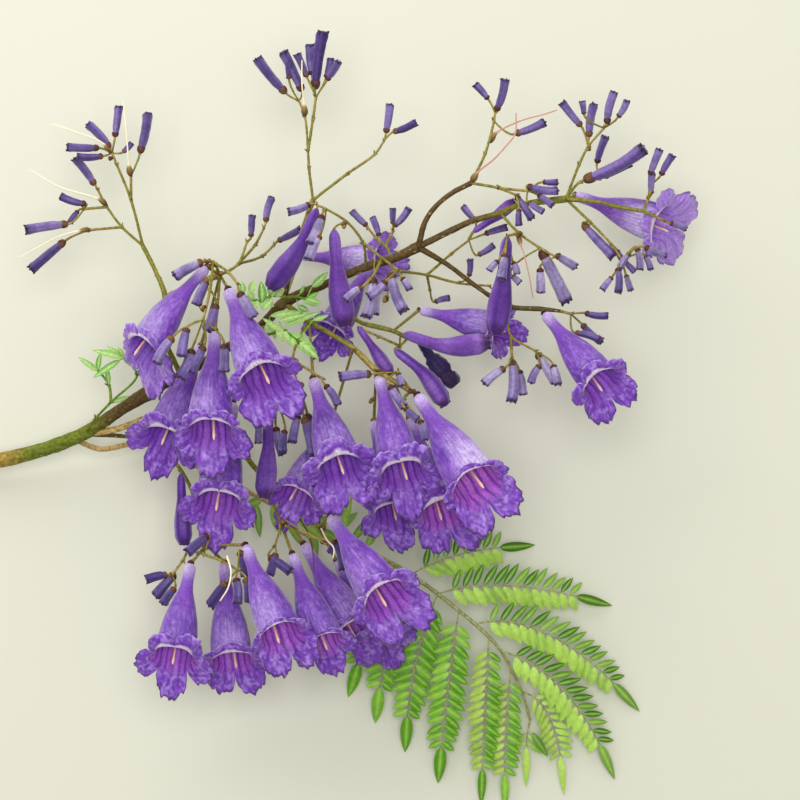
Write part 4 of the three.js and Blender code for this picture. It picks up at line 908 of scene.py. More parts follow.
def lobe_reach(turn, near, past, size, look):
    """How far the lobes reach outward and forward of the mouth. past is 0 at the mouth and 1 at the edge."""
    own_turn = turn - look["phase"]
    crest = np.abs(np.sin(PETALS / 2 * own_turn)) ** LOBE_ROUNDNESS
    lobe = np.floor(own_turn / (2 * math.pi / PETALS)).astype(int) % PETALS
    own = np.array(look["lobes"])[lobe]
    crest = LOBE_NOTCH + (1 - LOBE_NOTCH) * crest * (1 + (own - 1) * crest)
    flap = UPPER_LOBE["length"] * look["flap"]
    length = LOWER_LOBE["length"] * (1 - near) + flap * near - SIDE_LOBE_LESS * np.sin(turn) ** 2
    reach = size * length * crest * (1 + ripples(EDGE_TEETH, turn, look) * past) * look["reach"]
    start = (LOWER_LOBE["start"] + look["flare"]) * (1 - near) + UPPER_LOBE["start"] * near
    bend = LOWER_LOBE["turn"] * (1 - near) + UPPER_LOBE["turn"] * near
    end = start + bend * past
    out = reach * (np.cos(start) - np.cos(end)) / bend
    forth = reach * (np.sin(end) - np.sin(start)) / bend
    wave = size * RUFFLE_HEIGHT * past ** 2 * ripples(RUFFLES, turn, look)
    return out + wave * np.cos(end), forth - wave * np.sin(end) * RUFFLE_FORTH


def corolla(turn, along, size, look):
    """Points of the corolla as across, up and axial sizes. Turn 0 is the short upper lip, along 0 to 1 the
    tube and 1 to 2 a lobe. look holds the flower's own numbers."""
    near = (1 + np.cos(turn)) / 2
    part = np.minimum(along, 1)
    radius = size * BELL_RADIUS * BELL(part)
    radius = radius * np.sqrt(np.clip(1 - (1 - np.clip(part / DOME, 0, 1)) ** 2, 0, 1))
    folds = np.cos(5 * turn + look["fold"]) * BELL_FOLD + np.cos(2 * turn + look["fold"] * 2) * BELL_SQUASH
    radius = radius * (1 + folds * smooth_step(0.3, 1, part))
    across = radius * np.sin(turn)
    up = radius * np.cos(turn) * BELL_FLATNESS + size * BELL_BOW * np.sin(math.pi * part)
    axial = size * TUBE_LENGTH * part * (1 - LIP_SET_BACK * near * part * part)
    out, forth = lobe_reach(turn, near, np.clip(along - 1, 0, 1), size, look)
    across = across + out * np.sin(turn)
    up = up + out * np.cos(turn)
    return np.stack([across, up, axial + forth], -1)


def flower_look(name, own, rng):
    """A flower's own numbers: random ones, and in their place those that its row gives."""
    spans = {**LOOK_SPANS, "warm": LOWER_WARM} if name.startswith("flower_lower") else LOOK_SPANS
    look = {key: rng.uniform(*span) for key, span in spans.items()}
    phase = math.pi / PETALS if own.get("half") else 0.0
    return {**look, "phase": phase, "light": 0, "reach": 1, "roll": 0, **own}


def flower(name, start, foot, mouth, own, materials, seed):
    """An open flower on its stalk, with its calyx and the rod in its throat."""
    rng = np.random.default_rng(seed)
    look = flower_look(name, own, rng)
    base = at(foot)
    to_mouth = at(mouth) - base
    size = look.get("size") or np.linalg.norm(to_mouth) / (TUBE_LENGTH * MOUTH_SHARE)
    axis = unit(to_mouth)
    roll = look["roll"]
    near = UP * math.cos(roll) + np.cross(axis, UP) * math.sin(roll) + axis * axis[2] * (1 - math.cos(roll))
    near = unit(near - axis * near.dot(axis))
    side = np.cross(axis, near)

    def place(points):
        return base + points[..., :1] * side + points[..., 1:2] * near + points[..., 2:] * axis

    piece = Piece()
    add_corolla(piece, place, size, look)
    add_rod(piece, place, size, rng)
    add_stalk(piece, at(start), base, size)
    mesh_piece(name + "_bloom", piece, materials, name)


def add_corolla(piece, place, size, look):
    """The corolla as one closed skin: up its outside to the lobes' edge and back down into the throat."""
    turn = round_angles(COROLLA_SIDES)[None]
    tube_rows = np.concatenate([np.linspace(0, 1, 8)[:-1] ** 1.5 * 0.1, np.linspace(0.1, 1, 22)])
    lobe_rows = np.linspace(1, 2, 20)[1:]
    outer = np.concatenate([tube_rows, lobe_rows])
    inner = np.concatenate([lobe_rows[::-1][1:], np.linspace(1, THROAT_DEPTH, 16)])

    def surface(turns, along):
        return place(corolla(turns, along + 0 * turn, size, look))

    def skin(rows, offset):
        along = rows[:, None]
        before, after = np.maximum(along - SLOPE_STEP, 0), np.minimum(along + SLOPE_STEP, 2)
        around = surface(turn + SLOPE_STEP, along) - surface(turn - SLOPE_STEP, along)
        forward = surface(turn, after) - surface(turn, before)
        return surface(turn, along) + unit(np.cross(around, forward)) * offset

    points = np.concatenate([skin(outer, 0), skin(inner, -WALL)])
    rows = np.concatenate([outer, inner])[:, None] + 0 * turn
    inside = np.concatenate([np.zeros(len(outer)), np.ones(len(inner))])[:, None] + 0 * turn
    colours = petal_colours(turn + 0 * rows, rows, inside, points, look)
    maps = np.stack([turn / (2 * math.pi) + 0 * rows, rows / 2 + inside], -1)
    piece.add(points, turned(grid_faces(len(rows), COROLLA_SIDES)), colours.reshape(-1, 3), maps)
    # The bottom of the throat, in the pale painted light of the throat deep inside
    piece.add(np.vstack([points[-1], points[-1].mean(0)[None]]), fan(COROLLA_SIDES), THROAT_PAINTED_LIGHT)


def petal_colours(turn, along, inside, points, look):
    """The corolla's colours: a pale neck, a violet bell with painted shade on its lower side and a painted
    pale sheen, a striped throat from cool to warm magenta that is painted lighter deep inside, as if lit
    through the petals, mottled lobes with a thin edge that turns to a painted highlight on the upper lip,
    and a painted highlight where the upper lip folds back."""
    near = (1 + np.cos(turn)) / 2
    seed = int(look["fold"] * 100)
    broad = noise(points, 6.0, seed)
    patchy = noise(points, 2.2, seed + 1)
    fine = noise(points, 0.8, seed + 2)
    veins = (np.sin(turn * 34 + 1.5 * broad) * 0.5 + 0.5) ** 3
    lines = (np.sin(turn * 17 + 2.2 * broad + 0.6 * patchy) * 0.5 + 0.5) ** 4
    bell = smooth_step(*BELL_START, along)
    lobe = smooth_step(*LOBE_START, along)

    outer = mix(NECK, NECK_LOW, smooth_step(*NECK_END, along))
    outer = mix(outer, PETAL, smooth_step(*VIOLET_START, along))
    # Painted shade: the bell turns deeper violet towards its lower side, on top of its random tone and veins
    deep = 0.25 + 0.45 * broad + 0.4 * (1 - near) + 0.25 * veins
    outer = mix(outer, PETAL_DEEP, bell * np.clip(deep, 0, 0.85))
    # Painted sheen: a pale highlight painted on one side of the bell towards its mouth
    lit = smooth_step(0.1, 0.95, np.cos(turn - look["sheen_turn"]))
    sheen = smooth_step(*SHEEN_START, along) * lit * look["sheen"]
    outer = mix(outer, PAINTED_SHEEN_PALE, np.clip(sheen * (0.85 + 0.4 * fine - 0.25 * veins), 0, 0.95))
    outer = mix(outer, PETAL_LILAC, 0.4 * bell * smooth_step(-0.3, 0.8, fine))

    # Painted light: the throat is palest deep inside, as if lit through the petals, and deepens to the mouth
    throat = mix(THROAT_COOL_PAINTED_LIGHT, THROAT_PAINTED_LIGHT, look["warm"])
    inner = mix(throat, mix(PETAL, THROAT_EDGE, look["warm"]), smooth_step(*THROAT_END, along))
    inner = mix(inner, PETAL, lobe)
    inner = mix(inner, STRIPE, 0.85 * lines * (1 - smooth_step(*STRIPE_END, along)))
    inner = mix(inner, PETAL_DEEP, lobe * np.clip(0.5 * patchy + 0.4 * veins, 0, 0.7))
    inner = mix(inner, PETAL_LILAC, lobe * smooth_step(-0.3, 0.8, fine + 0.6 * patchy) * 0.75)
    inner = mix(inner, PETAL_LILAC, look["light"] * (0.7 - 0.3 * lines))
    # Painted highlight: a pale band on the inside where the upper lip folds back, widest under its middle
    width = 1.04 + 0.28 * smooth_step(0.6, 1, near) * (1 + 0.3 * patchy)
    fold = (1 - smooth_step(width - 0.06, width + 0.1, along)) * smooth_step(0.93, 1.0, along)
    inner = mix(inner, FOLD_HIGHLIGHT, fold * smooth_step(0.62, 0.9, near))

    colours = np.where(inside[..., None] > 0.5, inner, outer)
    # The edge: a thin dark line on the lower lobes that turns to a painted highlight along the upper lip's
    # rim
    edge = mix(PETAL_EDGE, PETAL_RIM_HIGHLIGHT, smooth_step(0.5, 0.8, near))
    return mix(colours, edge, smooth_step(*EDGE_START, along) * 0.85)


def add_rod(piece, place, size, rng):
    """The pale hairy rod that comes out of the throat under the upper lip."""
    lean = rng.uniform(-ROD_LEAN, ROD_LEAN)
    part = np.linspace(0, 1, 18)
    rise = 1.5 + 2.2 * part - 1.5 * part ** 3
    points = np.stack([lean * part, rise, TUBE_LENGTH * (0.5 + 0.55 * part)], -1) * size
    hairs = 0.04 * np.sin(part * 60) * (part > 0.5)
    radii = size * (ROD_RADIUS + hairs + 0.16 * np.exp(-((part - 0.95) / 0.06) ** 2))
    radii[-1] *= 0.5
    outline_tube(piece, place(points), radii, 8, mix(ROD, ROD_TIP, smooth_step(0.85, 1, part)), slot=1)


def add_stalk(piece, start, base, size):
    """The stalk that ends in a small calyx, a cup that holds the neck from behind."""
    way = unit(base - start)
    part = np.linspace(0, 1, 12)[:, None]
    sag = UP * np.sin(part * math.pi) * min(1.2, 0.05 * np.linalg.norm(base - start))
    radii = np.linspace(STALK_RADIUS * 0.9, STALK_RADIUS * 1.15, 12)
    tube(piece, start + (base - start) * part - sag, radii, 8, mix(TWIG_OLIVE, TWIG_TAN, part[:, 0]), slot=2)
    cup = np.linspace(0, 1, 7)
    middle = base - way * 0.4 * size
    points = middle + way * (cup[:, None] - 0.5) * 2.0 * size
    radii = size * (0.45 + 0.85 * np.sin(cup * 1.7) ** 0.8)
    outline_tube(piece, points, radii, 10, mix(TWIG_TAN, CALYX, smooth_step(0.1, 0.5, cup)), slot=2,
                 crimp=lambda angles: 1 + 0.05 * np.cos(5 * angles))


def crown(piece, points, radius, colour, rng):
    """The dark folded lobes at the end of a closed flower, as small blobs round its rim."""
    frames = frames_along(points)
    axis = frames[0][-1]
    spin = rng.uniform(0, ANY_TURN)
    part = np.linspace(0, 1, 6)
    for index in range(PETALS):
        outward = outward_at(frames, -1, spin + index * 2 * math.pi / PETALS + rng.uniform(-0.25, 0.25))
        start = points[-1] + outward * radius * 0.62 - axis * radius * 0.45
        way = axis * rng.uniform(0.3, 0.75) + outward * rng.uniform(0.25, 0.6)
        blob = start + way * part[:, None] * radius * 0.9
        outline_tube(piece, blob, radius * stations(CROWN_LOBE, part), 8,
                     np.broadcast_to(colour * rng.uniform(0.7, 1.4), (6, 3)))


def with_painted_shade(colours, deep, sides, spin, depth, rng):
    """A closed flower's colours for each side of each ring, with painted shade: darker in its creases and on
    one side.
    """
    angles = round_angles(sides)
    crease_shade = 0.4 * (0.5 - 0.5 * np.cos(PETALS * angles + spin)) ** 2
    shade = 0.55 * smooth_step(-0.1, 0.9, np.cos(angles - rng.uniform(0, ANY_TURN)))
    return mix(colours[:, None], deep, np.broadcast_to((crease_shade + shade) * depth, (len(colours), sides)))


def club(piece, points, radii, pale, rng):
    """A closed bud along a route: a velvety club with a crimped dark tip, in a small brown calyx."""
    part = np.linspace(0, 1, len(points))
    tone = min(pale * 2, 1.0)
    body = mix(BUD_DARK, BUD_MIDDLE, np.full(len(part), tone))
    body = mix(body, BUD_PALE, max(pale * 2 - 1, 0.3 * tone) * (1 - 0.5 * part))
    body = mix(body, BUD_DARK, 0.5 * smooth_step(-0.2, 0.8, any_noise(points, 3.0, rng)))
    grown = smooth_step(*GROWN_BUD, np.linalg.norm(points[-1] - points[0]))
    body = mix(body, FULL_BUD, np.full(len(part), 0.6 * grown * (1 - pale)))
    colours = mix(body, BUD_TIP, smooth_step(0.88, 0.98, part))
    spin = rng.uniform(0, ANY_TURN)

    def creases(angles):
        tip = 0.17 * smooth_step(0.8, 0.95, part)[:, None] * np.cos(PETALS * angles + spin)
        return 1 + tip + 0.06 * np.cos(PETALS * angles + 0.6 + spin) * smooth_step(0.1, 0.4, part)[:, None]

    # Painted shade: darker in the bud's creases and on one side
    tones = with_painted_shade(colours, BUD_DARK * 0.7, BUD_SIDES, spin, 1.1 - 0.6 * pale, rng)
    outline_tube(piece, points, radii, BUD_SIDES, tones, crimp=creases)
    crown(piece, points, radii[-3], BUD_TIP, rng)
    calyx = part <= CALYX_PROFILE[-1][0]
    outline_tube(piece, points[calyx], radii.max() * stations(CALYX_PROFILE, part[calyx]), 10,
                 mix(CALYX_TAN, CALYX, np.full(calyx.sum(), rng.uniform(0, 1))), slot=1,
                 crimp=lambda angles: 1 + 0.08 * np.cos(5 * angles))


def bud(buds, twigs, fork, foot, tip, pale, rng, stout):
    """A bud on its thin stalk from a fork."""
    length = np.linalg.norm(tip - foot)
    radius = stout * (BUD_RADIUS["least"] + BUD_RADIUS["growth"] * length)
    part = np.linspace(0, 1, 22)
    side = unit(np.cross(tip - foot, UP))
    bow = rng.uniform(-BUD_BOW, BUD_BOW) * length
    points = foot + (tip - foot) * part[:, None] + side * (np.sin(part * math.pi) * bow)[:, None]
    widths = stations(BUD_PROFILE, part) * (1 + 0.05 * any_noise(points, 1.6, rng))
    club(buds, points, widths * radius, pale, rng)
    add_bent_stalk(twigs, fork, foot, tip)


def add_bent_stalk(twigs, fork, foot, tip):
    """A thin stalk that leaves the fork towards the bud's foot and ends in line with the bud."""
    part = np.linspace(0, 1, 8)[:, None]
    bend = foot - unit(tip - foot) * np.linalg.norm(foot - fork) * 0.3
    points = fork * (1 - part) ** 2 + 2 * bend * part * (1 - part) + foot * part ** 2
    tube(twigs, points, np.linspace(BUD_STALK_RADIUS, BUD_STALK_RADIUS * 1.5, 8), 6,
         mix(TWIG_OLIVE, TWIG_TAN, part[:, 0]))


def full_bud(buds, twigs, fork, places, rng):
    """A flower still closed: a curved club as long as a flower, creased lengthwise, with a dark end."""
    points, _ = curve_points(places, TWIG_STEP)
    reach = distances(points)
    part = reach / reach[-1]
    widths = FULL_BUD_SHAPE(part) * (reach[-1] * FULL_BUD_SLIMNESS)
    widths = widths * np.sqrt(np.clip(1 - (1 - np.clip(part / 0.08, 0.1, 1)) ** 2, 0, 1))
    body = mix(NECK_LOW, FULL_BUD, smooth_step(0.1, 0.4, part))
    patchy = any_noise(points, 4.0, rng)
    body = mix(body, FULL_BUD_PALE, smooth_step(0.2, 0.7, part) * np.clip(0.3 + 0.5 * patchy, 0, 0.8))
    body = mix(body, FULL_BUD_TIP, smooth_step(0.86, 0.96, part))
    spin = rng.uniform(0, ANY_TURN)

    def creases(angles):
        deep = np.abs(np.sin(PETALS / 2 * angles + spin)) ** 0.5 - 0.75
        height = 0.08 * smooth_step(0.35, 0.7, part) + 0.14 * smooth_step(0.8, 0.97, part)
        return 1 + height[:, None] * deep

    widths = widths * stations(FULL_BUD_END, part)
    # Painted shade: darker in the full bud's creases and on one side
    tones = with_painted_shade(body, PETAL_DEEP * 0.7, FULL_BUD_SIDES, spin * 2, 1.0, rng)
    outline_tube(buds, points, widths, FULL_BUD_SIDES, tones, crimp=creases)
    crown(buds, points, widths[-1] * 1.15, FULL_BUD_TIP, rng)
    add_bent_stalk(twigs, fork, points[0], points[2])


def withered(buds, twigs, fork, foot, tip):
    """A flower that has dried up: dark, thin and crumpled."""
    part = np.linspace(0, 1, 30)
    points = foot + (tip - foot) * part[:, None]
    crumple = 1 + 0.25 * noise(points, 3.0, 9) + 0.2 * noise(points, 1.2, 4)
    along = part[:, None]
    outline_tube(buds, points, stations(WITHERED_PROFILE, part) * crumple, 20, mix(WITHERED, BUD_TIP, part),
                 crimp=lambda angles: 1 + 0.18 * np.cos(3 * angles + along * 5)
                 + 0.12 * np.cos(7 * angles - along * 8))
    add_bent_stalk(twigs, fork, foot, tip)


def nearest_fork(twigs, u, v):
    """The fork of the twigs that lies nearest in the picture, other than their root in the limb."""
    root = twigs[0][0]
    forks = [fork for twig in twigs for fork in twig if fork is not root]
    return at(min(forks, key=lambda fork: math.hypot(fork[0] - u, fork[1] - v)))


def twig_relief(seed):
    """The bark of a twig, as a function of places and radii."""
    def relief(places, radii):
        return radii * (0.12 * noise(places, 1.1, seed) + 0.06 * noise(places, 0.5, seed + 7))

    return relief


def add_twigs(piece, twigs, seed, first, last):
    """The twigs of a mass, each swollen at its forks and with bracts there."""
    for twig in twigs:
        points, shares = curve_points(twig, TWIG_STEP)
        swell = 0.35 * np.exp(-(((shares + 0.5) % 1 - 0.5) / 0.06) ** 2)
        radii = (TWIG_RADIUS - TWIG_TAPER * shares) * (1 + swell)
        tones = mix(first, last, shares / max(shares[-1], 1))
        tube(piece, points, radii, 10, tones, relief=twig_relief(seed))
        for joint in range(1, len(twig)):
            add_bracts(piece, points, int(np.argmin(np.abs(shares - joint))), seed + joint)


def add_bracts(piece, points, index, seed):
    """Two small scales that stand off a twig at its joint."""
    rng = np.random.default_rng(seed)
    frames = frames_along(points)
    part = np.linspace(0, 1, len(BRACT_RADII))
    for _ in range(2):
        outward = outward_at(frames, index, rng.uniform(0, 2 * math.pi))
        way = unit(frames[0][index] + outward * rng.uniform(0.7, 1.4)) * rng.uniform(1.0, 1.7)
        radii = np.array(BRACT_RADII) * rng.uniform(0.8, 1.2)
        outline_tube(piece, points[index] + outward * 0.25 + way * part[:, None], radii, 6,
                     mix(TWIG_DARK, TWIG_TAN, np.full(len(part), rng.uniform(0, 1))))


def mass(name, pale, twigs, buds, full, materials, seed):
    """A mass of buds: twigs from one stem, each bud on a stalk from the nearest fork."""
    random = seeded(seed)
    rng = np.random.default_rng(seed + SEEDS["buds"])
    buds_piece, twigs_piece = Piece(), Piece()
    add_twigs(twigs_piece, twigs, seed, TWIG_OLIVE, TWIG_TAN)
    for index, (u0, v0, u1, v1, *height) in enumerate(buds):
        rise = (next(random) * 2 - 1) * BUD_RISE
        tilt = (next(random) * 2 - 1) * BUD_TILT
        fork = nearest_fork(twigs, u0, v0)
        foot_height = height[0] if height else fork[2] + rise
        foot = at((u0, v0, foot_height))
        length = np.linalg.norm(at((u1, v1, foot_height)) - foot)
        tip = at((u1, v1, max(foot_height + tilt * length, length * BUD_SLIMNESS)))
        if (name, index) == WITHERED_BUD:
            withered(buds_piece, twigs_piece, fork, foot, tip)
        else:
            tone = np.clip(pale + rng.uniform(-0.2, 0.2), 0, 1)
            bud(buds_piece, twigs_piece, fork, foot, tip, tone, rng, STOUT.get(name, 1))
    for places in full:
        full_bud(buds_piece, twigs_piece, nearest_fork(twigs, *places[0][:2]), places, rng)
    mesh_piece(name + "_buds", buds_piece, (materials["bud"], materials["bark"]), name)
    mesh_piece(name + "_twigs", twigs_piece, (materials["green_bark"],), name)


def limb(name, slot, colours, route, radii, materials, seed):
    """A limb with the relief of its bark, pale lenticels and swollen forks. The main stem is cut square, and
    turns from tan to green to brown."""
    points, shares = curve_points(route, LIMB_STEP)
    widths = np.interp(shares, range(len(radii)), radii)

    def relief(places, around):
        ridges = noise(places * np.array([0.5, 1, 1]), 1.6, seed) * 0.08
        return around * (ridges + noise(places, 0.6, seed + 3) * 0.035)

    piece = Piece()
    part = shares / shares[-1]
    shade = noise(points, 9.0, seed)
    tones = mix(colours[0], colours[1], smooth_step(0.15, 0.75, part + 0.15 * shade))
    stem = name == "main_stem"
    if stem:
        tones = mix(STEM_TAN, STEM_GREEN, smooth_step(*STEM_GREEN_START, part + 0.02 * shade))
        tones = mix(tones, STEM_BROWN, smooth_step(*STEM_BROWN_START, part + 0.01 * shade))
    sides = LIMB_SIDES["thick"] if widths.max() > THICK_LIMB else LIMB_SIDES["thin"]
    tube(piece, points, widths, sides, tones, relief=relief, square=stem)
    add_lenticels(piece, points, widths, seed)
    if stem:
        add_cut(piece, points[0], widths[0])
    mesh_piece(name + "_limb", piece, (materials[slot],), name)


def add_lenticels(piece, points, widths, seed):
    """Small raised pale pores, more of them on the thick limbs."""
    rng = np.random.default_rng(seed + SEEDS["lenticels"])
    frames = frames_along(points)
    for _ in range(int(len(points) * 0.16 * widths.mean())):
        index = rng.integers(2, len(points) - 2)
        outward = outward_at(frames, index, rng.uniform(0, 2 * math.pi))
        long = rng.uniform(0.35, 0.8)
        middle = points[index] + outward * (widths[index] * 0.97)
        reach = np.linspace(-1, 1, len(LENTICEL_RADII))[:, None] * frames[0][index] * long
        radii = np.array(LENTICEL_RADII) * rng.uniform(0.8, 1.3)
        outline_tube(piece, middle + reach, radii, 6, np.broadcast_to(LENTICEL, (len(radii), 3)))


def add_cut(piece, centre, radius):
    """The pale wood of the cut end, with its pith, inside the bark's edge. Each ring lies over the last."""
    angles = round_angles(CUT_SIDES)
    for index, (ring, shade) in enumerate(CUT_RINGS):
        lift = -CUT_LAYER - CUT_LAYER * index
        y, z = np.cos(angles) * ring * radius, np.sin(angles) * ring * radius
        rim = np.stack([np.full(CUT_SIDES, lift), y, z], -1) + centre
        piece.add(np.vstack([rim, (centre + [lift, 0, 0])[None]]),
                  [(after, side, hub) for side, after, hub in fan(CUT_SIDES)], shade)


def blade(piece, foot, tip, width, up, colours, lift=0.12, thickness=0.12, rows=9, teeth=0.0, widest=0.42):
    """A leaflet folded a little along its midrib, pointed at both ends, as a thin skin. The colours are
    those of its rib, its flesh and its tip."""
    axis = tip - foot
    length = np.linalg.norm(axis)
    side = unit(np.cross(up, axis))
    rise = unit(np.cross(axis, side))
    part = np.linspace(0, 1, rows)
    half = np.sin(math.pi * part ** (math.log(0.5) / math.log(widest))) ** 0.8 * width / 2
    half = half * (1 + teeth * np.where(np.arange(rows) % 2, 1, -1))
    half[0] = half[-1] = 0.03
    bow = (np.sin(part * math.pi) * 0.06 - 0.03 * part) * length
    across = np.abs(LANES)
    reach = LANES[None, :, None] * half[:, None, None]
    middle = foot + axis * part[:, None] + rise * bow[:, None]
    top = middle[:, None] + side * reach + rise * (np.abs(reach) * lift * 2)
    half_wall = rise * ((1 - across)[None, :, None] * thickness / 2)
    rib, flesh, edge = colours
    shades = np.stack([mix(flesh, edge, part * 0.4)] * len(LANES), 1)
    shades[:, len(LANES) // 2] = rib
    maps = np.stack(np.broadcast_arrays(part[:, None] - 0.25 * across[None], across[None] * 0.5), -1)
    faces = grid_faces(rows, len(LANES), closed=False)
    piece.add(top + half_wall, turned(faces), shades.reshape(-1, 3), maps)
    piece.add(top - half_wall, faces, (shades * 0.9).reshape(-1, 3), maps)


def pinna(leaflets, ribs, start, middle, tip, sides, fine, rng):
    """One pinna: a bent rib, bare at first, with pairs of leaflets that lean to its tip, and a longer end
    leaflet. A fine of less than 1 makes its leaflets closer and smaller."""
    start, middle, tip = at(start), at(middle), at(tip)
    share = np.linspace(0, 1, 200)[:, None]
    curve = start * (1 - share) ** 2 + 2 * middle * share * (1 - share) + tip * share ** 2
    reach = distances(curve)
    rib_length = reach[-1] - END_LEAFLET_LENGTH
    pairs = int(round((rib_length - BARE_RIB) / (LEAFLET_PITCH * fine)))

    def point(distance):
        return np.array([np.interp(distance, reach, curve[:, axis]) for axis in range(3)])

    def colours(green):
        tone = rng.uniform(-1, 1)
        flesh = mix(green, LEAF_LIGHT if tone > 0 else LEAF_DARK, abs(tone) * 0.4)
        return mix(flesh, LEAF_LIGHT, 0.6), flesh, mix(flesh, LEAF_GREEN, 0.5)

    for station in range(pairs):
        distance = BARE_RIB + (station + 0.35) / pairs * (rib_length - BARE_RIB)
        foot = point(distance)
        along = unit(point(distance + 1) - point(distance - 1))
        left = unit(np.cross(UP, along))
        swell = math.sin(math.pi * (PINNA_SWELL["start"] + PINNA_SWELL["span"] * station / pairs))
        for hand, (green, width) in ((1, sides[0]), (-1, sides[1])):
            size = LEAFLET_LENGTH * fine * swell * rng.uniform(0.93, 1.05)
            angle = LEAFLET_ANGLE + rng.uniform(-0.09, 0.09)
            lean = along * math.cos(angle) + left * hand * math.sin(angle)
            end = foot + lean * size - UP * LEAFLET_DROOP * size * rng.uniform(0.3, 1.4)
            end[2] = max(end[2], LEAST_HEIGHT)
            blade(leaflets, foot + left * hand * 0.2, end, width * fine * swell ** 0.5, UP, colours(green))
    foot, last = point(rib_length), point(reach[-1])
    foot[2], last[2] = max(foot[2], LEAST_HEIGHT), max(last[2], LEAST_HEIGHT)
    blade(leaflets, foot, last, sides[2], UP, colours(sides[0][0]), rows=11, widest=0.34)
    places = np.array([point(distance) for distance in np.linspace(0, rib_length, 40)])
    tube(ribs, places, np.linspace(0.36, 0.2, 40), 6, LEAF_RIB_COLOUR)


def lone_leaflets(leaflets, rng):
    """The leaflets that stand apart from the pinnae."""
    for u0, v0, u1, v1, height, width, tone in LONE_LEAFLETS:
        flesh = mix(LEAF_DARK, LEAF_LIGHT, 0.15 + tone)
        up = np.array([rng.uniform(-0.3, 0.3), rng.uniform(-0.3, 0.3), 1])
        blade(leaflets, at((u0, v0, height)), at((u1, v1, height - 1)), width, up,
              (mix(flesh, LEAF_LIGHT, 0.4), flesh, mix(flesh, LEAF_GREEN, 0.5)), rows=11)


def leaf(materials):
    """The big leaf: its stalk and rib, its pinnae of fine leaflets, and the leaflets apart from them."""
    rng = np.random.default_rng(SEEDS["leaf"])
    leaflets, ribs = Piece(), Piece()
    points, shares = curve_points((*LEAF_STALK, *LEAF_RIB), LEAF_STALK_STEP)
    radii = (*LEAF_STALK_RADII, *LEAF_RIB_RADII)
    radii = np.interp(shares, range(len(radii)), radii) * 0.9
    tones = mix(STALK_TAN, LEAF_RIB_COLOUR, smooth_step(0.1, 0.5, shares / shares[-1]))
    tube(ribs, points, radii, 10, tones, relief=twig_relief(SEEDS["leaf_stalk"]))
    for place, middle, tip, sides, fine in PINNAE:
        pinna(leaflets, ribs, LEAF_RIB[place], middle, tip, sides, fine, rng)
    lone_leaflets(leaflets, rng)
    mesh_piece("leaf_leaflets", leaflets, (materials["leaf"],), "leaf")
    mesh_piece("leaf_ribs", ribs, (materials["green_bark"],), "leaf")


def young_leaf(name, twigs, leaflets, materials, seed):
    """Young leaves: thin stalks with pale pointed leaflets that show their veins."""
    rng = np.random.default_rng(seed)
    piece, stalks = Piece(), Piece()
    add_twigs(stalks, twigs, seed, TWIG_OLIVE, YOUNG_DARK)
    for u0, v0, u1, v1, width, tone in leaflets:
        fork = nearest_fork(twigs, u0, v0)
        foot = at((u0, v0, fork[2] + rng.uniform(-0.5, 1.5)))
        tip = at((u1, v1, foot[2] + rng.uniform(-0.5, 1.5)))
        if np.linalg.norm(foot - fork) > 1:
            tube(stalks, fork + (foot - fork) * np.linspace(0, 1, 6)[:, None], 0.2, 6, YOUNG_GREEN)
        flesh = YOUNG_DARK * (1 - tone) + YOUNG_LIGHT * tone
        up = np.array([rng.uniform(-0.4, 0.4), rng.uniform(-0.4, 0.4), 1])
        blade(piece, foot, tip, width * GROUND_SCALE, up, (YOUNG_LIGHT, flesh, YOUNG_GREEN), lift=0.16,
              thickness=0.15, rows=19, teeth=0.04)
    mesh_piece(name + "_leaflets", piece, (materials["young_leaf"],), name)
    mesh_piece(name + "_stalks", stalks, (materials["green_bark"],), name)


def style(piece, colour, radius, knob, route):
    """A dry style, with a brown knob at its foot."""
    points, _ = curve_points(route, STYLE_STEP)
    foot = np.clip(distances(points) / KNOB_LENGTH, 0, 1)
    swell = knob * 0.75 * np.sin(math.pi * foot ** 0.8) ** 1.2
    radii = np.linspace(radius * 1.1, radius * 0.7, len(points)) + swell
    tones = mix(SCAR, TWIG_TAN, foot) if knob else np.broadcast_to(colour, (len(points), 3))
    outline_tube(piece, points, radii, 10, mix(tones, colour, smooth_step(0.7, 1.0, foot)),
                 crimp=lambda angles: 1 + 0.1 * np.cos(4 * angles) * (1 - foot[:, None]))


def stub(piece, middle, size, rng):
    """The brown stub of a fallen flower, as three short blobs."""
    part = np.linspace(0, 1, 8)
    for _ in range(3):
        way = unit(rng.normal(size=3))
        points = middle + way * (part[:, None] - 0.2) * size * 1.5
        outline_tube(piece, points, size * stations(STUB_PROFILE, part), 8,
                     mix(SCAR, TWIG_TAN, rng.uniform(0, 1) * part), slot=1,
                     crimp=lambda angles: 1 + 0.15 * np.cos(5 * angles))


def dry_remains(materials):
    """Dry styles and the brown stubs of fallen flowers."""
    piece = Piece()
    for row in STYLES:
        style(piece, *row)
    for index, (u, v, height, size) in enumerate(STUBS):
        stub(piece, at((u, v, height)), size, np.random.default_rng(index + SEEDS["stub"]))
    mesh_piece("dry_remains", piece, (materials["rod"], materials["bark"]), None)


def light(name, place, towards, size, power, colour):
    """A soft square light."""
    data = bpy.data.lights.new(name, "AREA")
    data.size = size
    data.energy = power
    data.color = colour
    made = bpy.data.objects.new(name, data)
    bpy.context.scene.collection.objects.link(made)
    made.location = place
    direction = np.array(towards) - np.array(place)
    made.rotation_euler = Vector(direction).to_track_quat("-Z", "Y").to_euler()


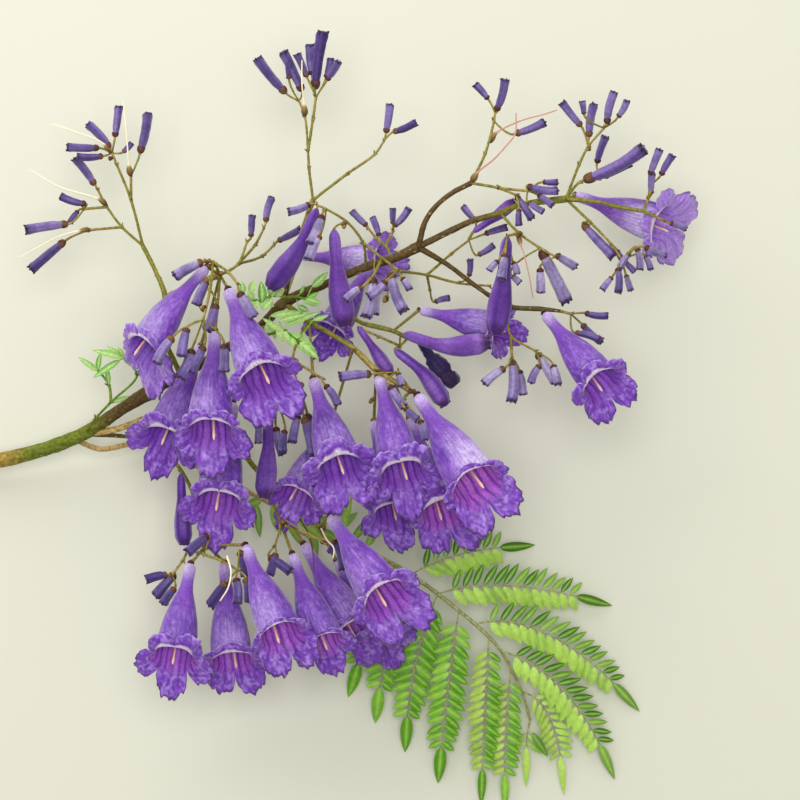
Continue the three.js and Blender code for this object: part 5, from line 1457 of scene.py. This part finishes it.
def add_floor():
    """A plain pale floor."""
    mesh = bpy.data.meshes.new("floor")
    corners = [(-FLOOR_REACH, -FLOOR_REACH, 0), (FLOOR_REACH, -FLOOR_REACH, 0),
               (FLOOR_REACH, FLOOR_REACH, 0), (-FLOOR_REACH, FLOOR_REACH, 0)]
    mesh.from_pydata(corners, [], [(0, 1, 2, 3)])
    floor = bpy.data.objects.new("floor", mesh)
    bpy.context.scene.collection.objects.link(floor)
    paint = bpy.data.materials.new("floor_paint")
    paint.use_nodes = True
    set_values(paint.node_tree.nodes["Principled BSDF"], {"Base Color": (*FLOOR, 1), "Roughness": 0.9})
    mesh.materials.append(paint)


def add_world():
    """Soft light from all round, and how the picture is developed."""
    scene = bpy.context.scene
    world = bpy.data.worlds.new("soft_room")
    world.use_nodes = True
    set_values(world.node_tree.nodes["Background"], {"Color": ROOM_COLOUR, "Strength": ROOM_STRENGTH})
    scene.world = world
    scene.view_settings.view_transform = "Standard"
    scene.view_settings.look = "Medium High Contrast"


def add_camera():
    """The camera over the picture's middle, which looks straight down."""
    data = bpy.data.cameras.new("camera")
    data.lens = SENSOR * VIEW_HEIGHT / (GROUND_SCALE * PICTURE_SIDE)
    data.sensor_width = SENSOR
    data.clip_start = 0.01
    camera = bpy.data.objects.new("camera", data)
    camera.location = (-MIDDLE[0] / METRE, -MIDDLE[1] / METRE, VIEW_HEIGHT / METRE)
    bpy.context.scene.collection.objects.link(camera)
    bpy.context.scene.camera = camera


add_floor()
for row in LIGHTS:
    light(*row)
add_world()
add_camera()
materials = {
    "petal": petal_material(),
    "rod": rod_material(),
    "bud": bud_material(),
    "bark": bark_material(),
    "green_bark": green_bark_material(),
    "leaf": leaf_material(),
    "young_leaf": young_leaf_material(),
}
for number, row in enumerate(LIMBS):
    limb(*row, materials, number + SEEDS["limb"])
for number, row in enumerate(FLOWERS):
    flower(*row, (materials["petal"], materials["rod"], materials["green_bark"]), number + SEEDS["flower"])
for number, row in enumerate(MASSES):
    mass(*row, materials, number + SEEDS["mass"])
leaf(materials)
for number, row in enumerate(YOUNG_LEAVES):
    young_leaf(*row, materials, number + SEEDS["young_leaf"])
dry_remains(materials)
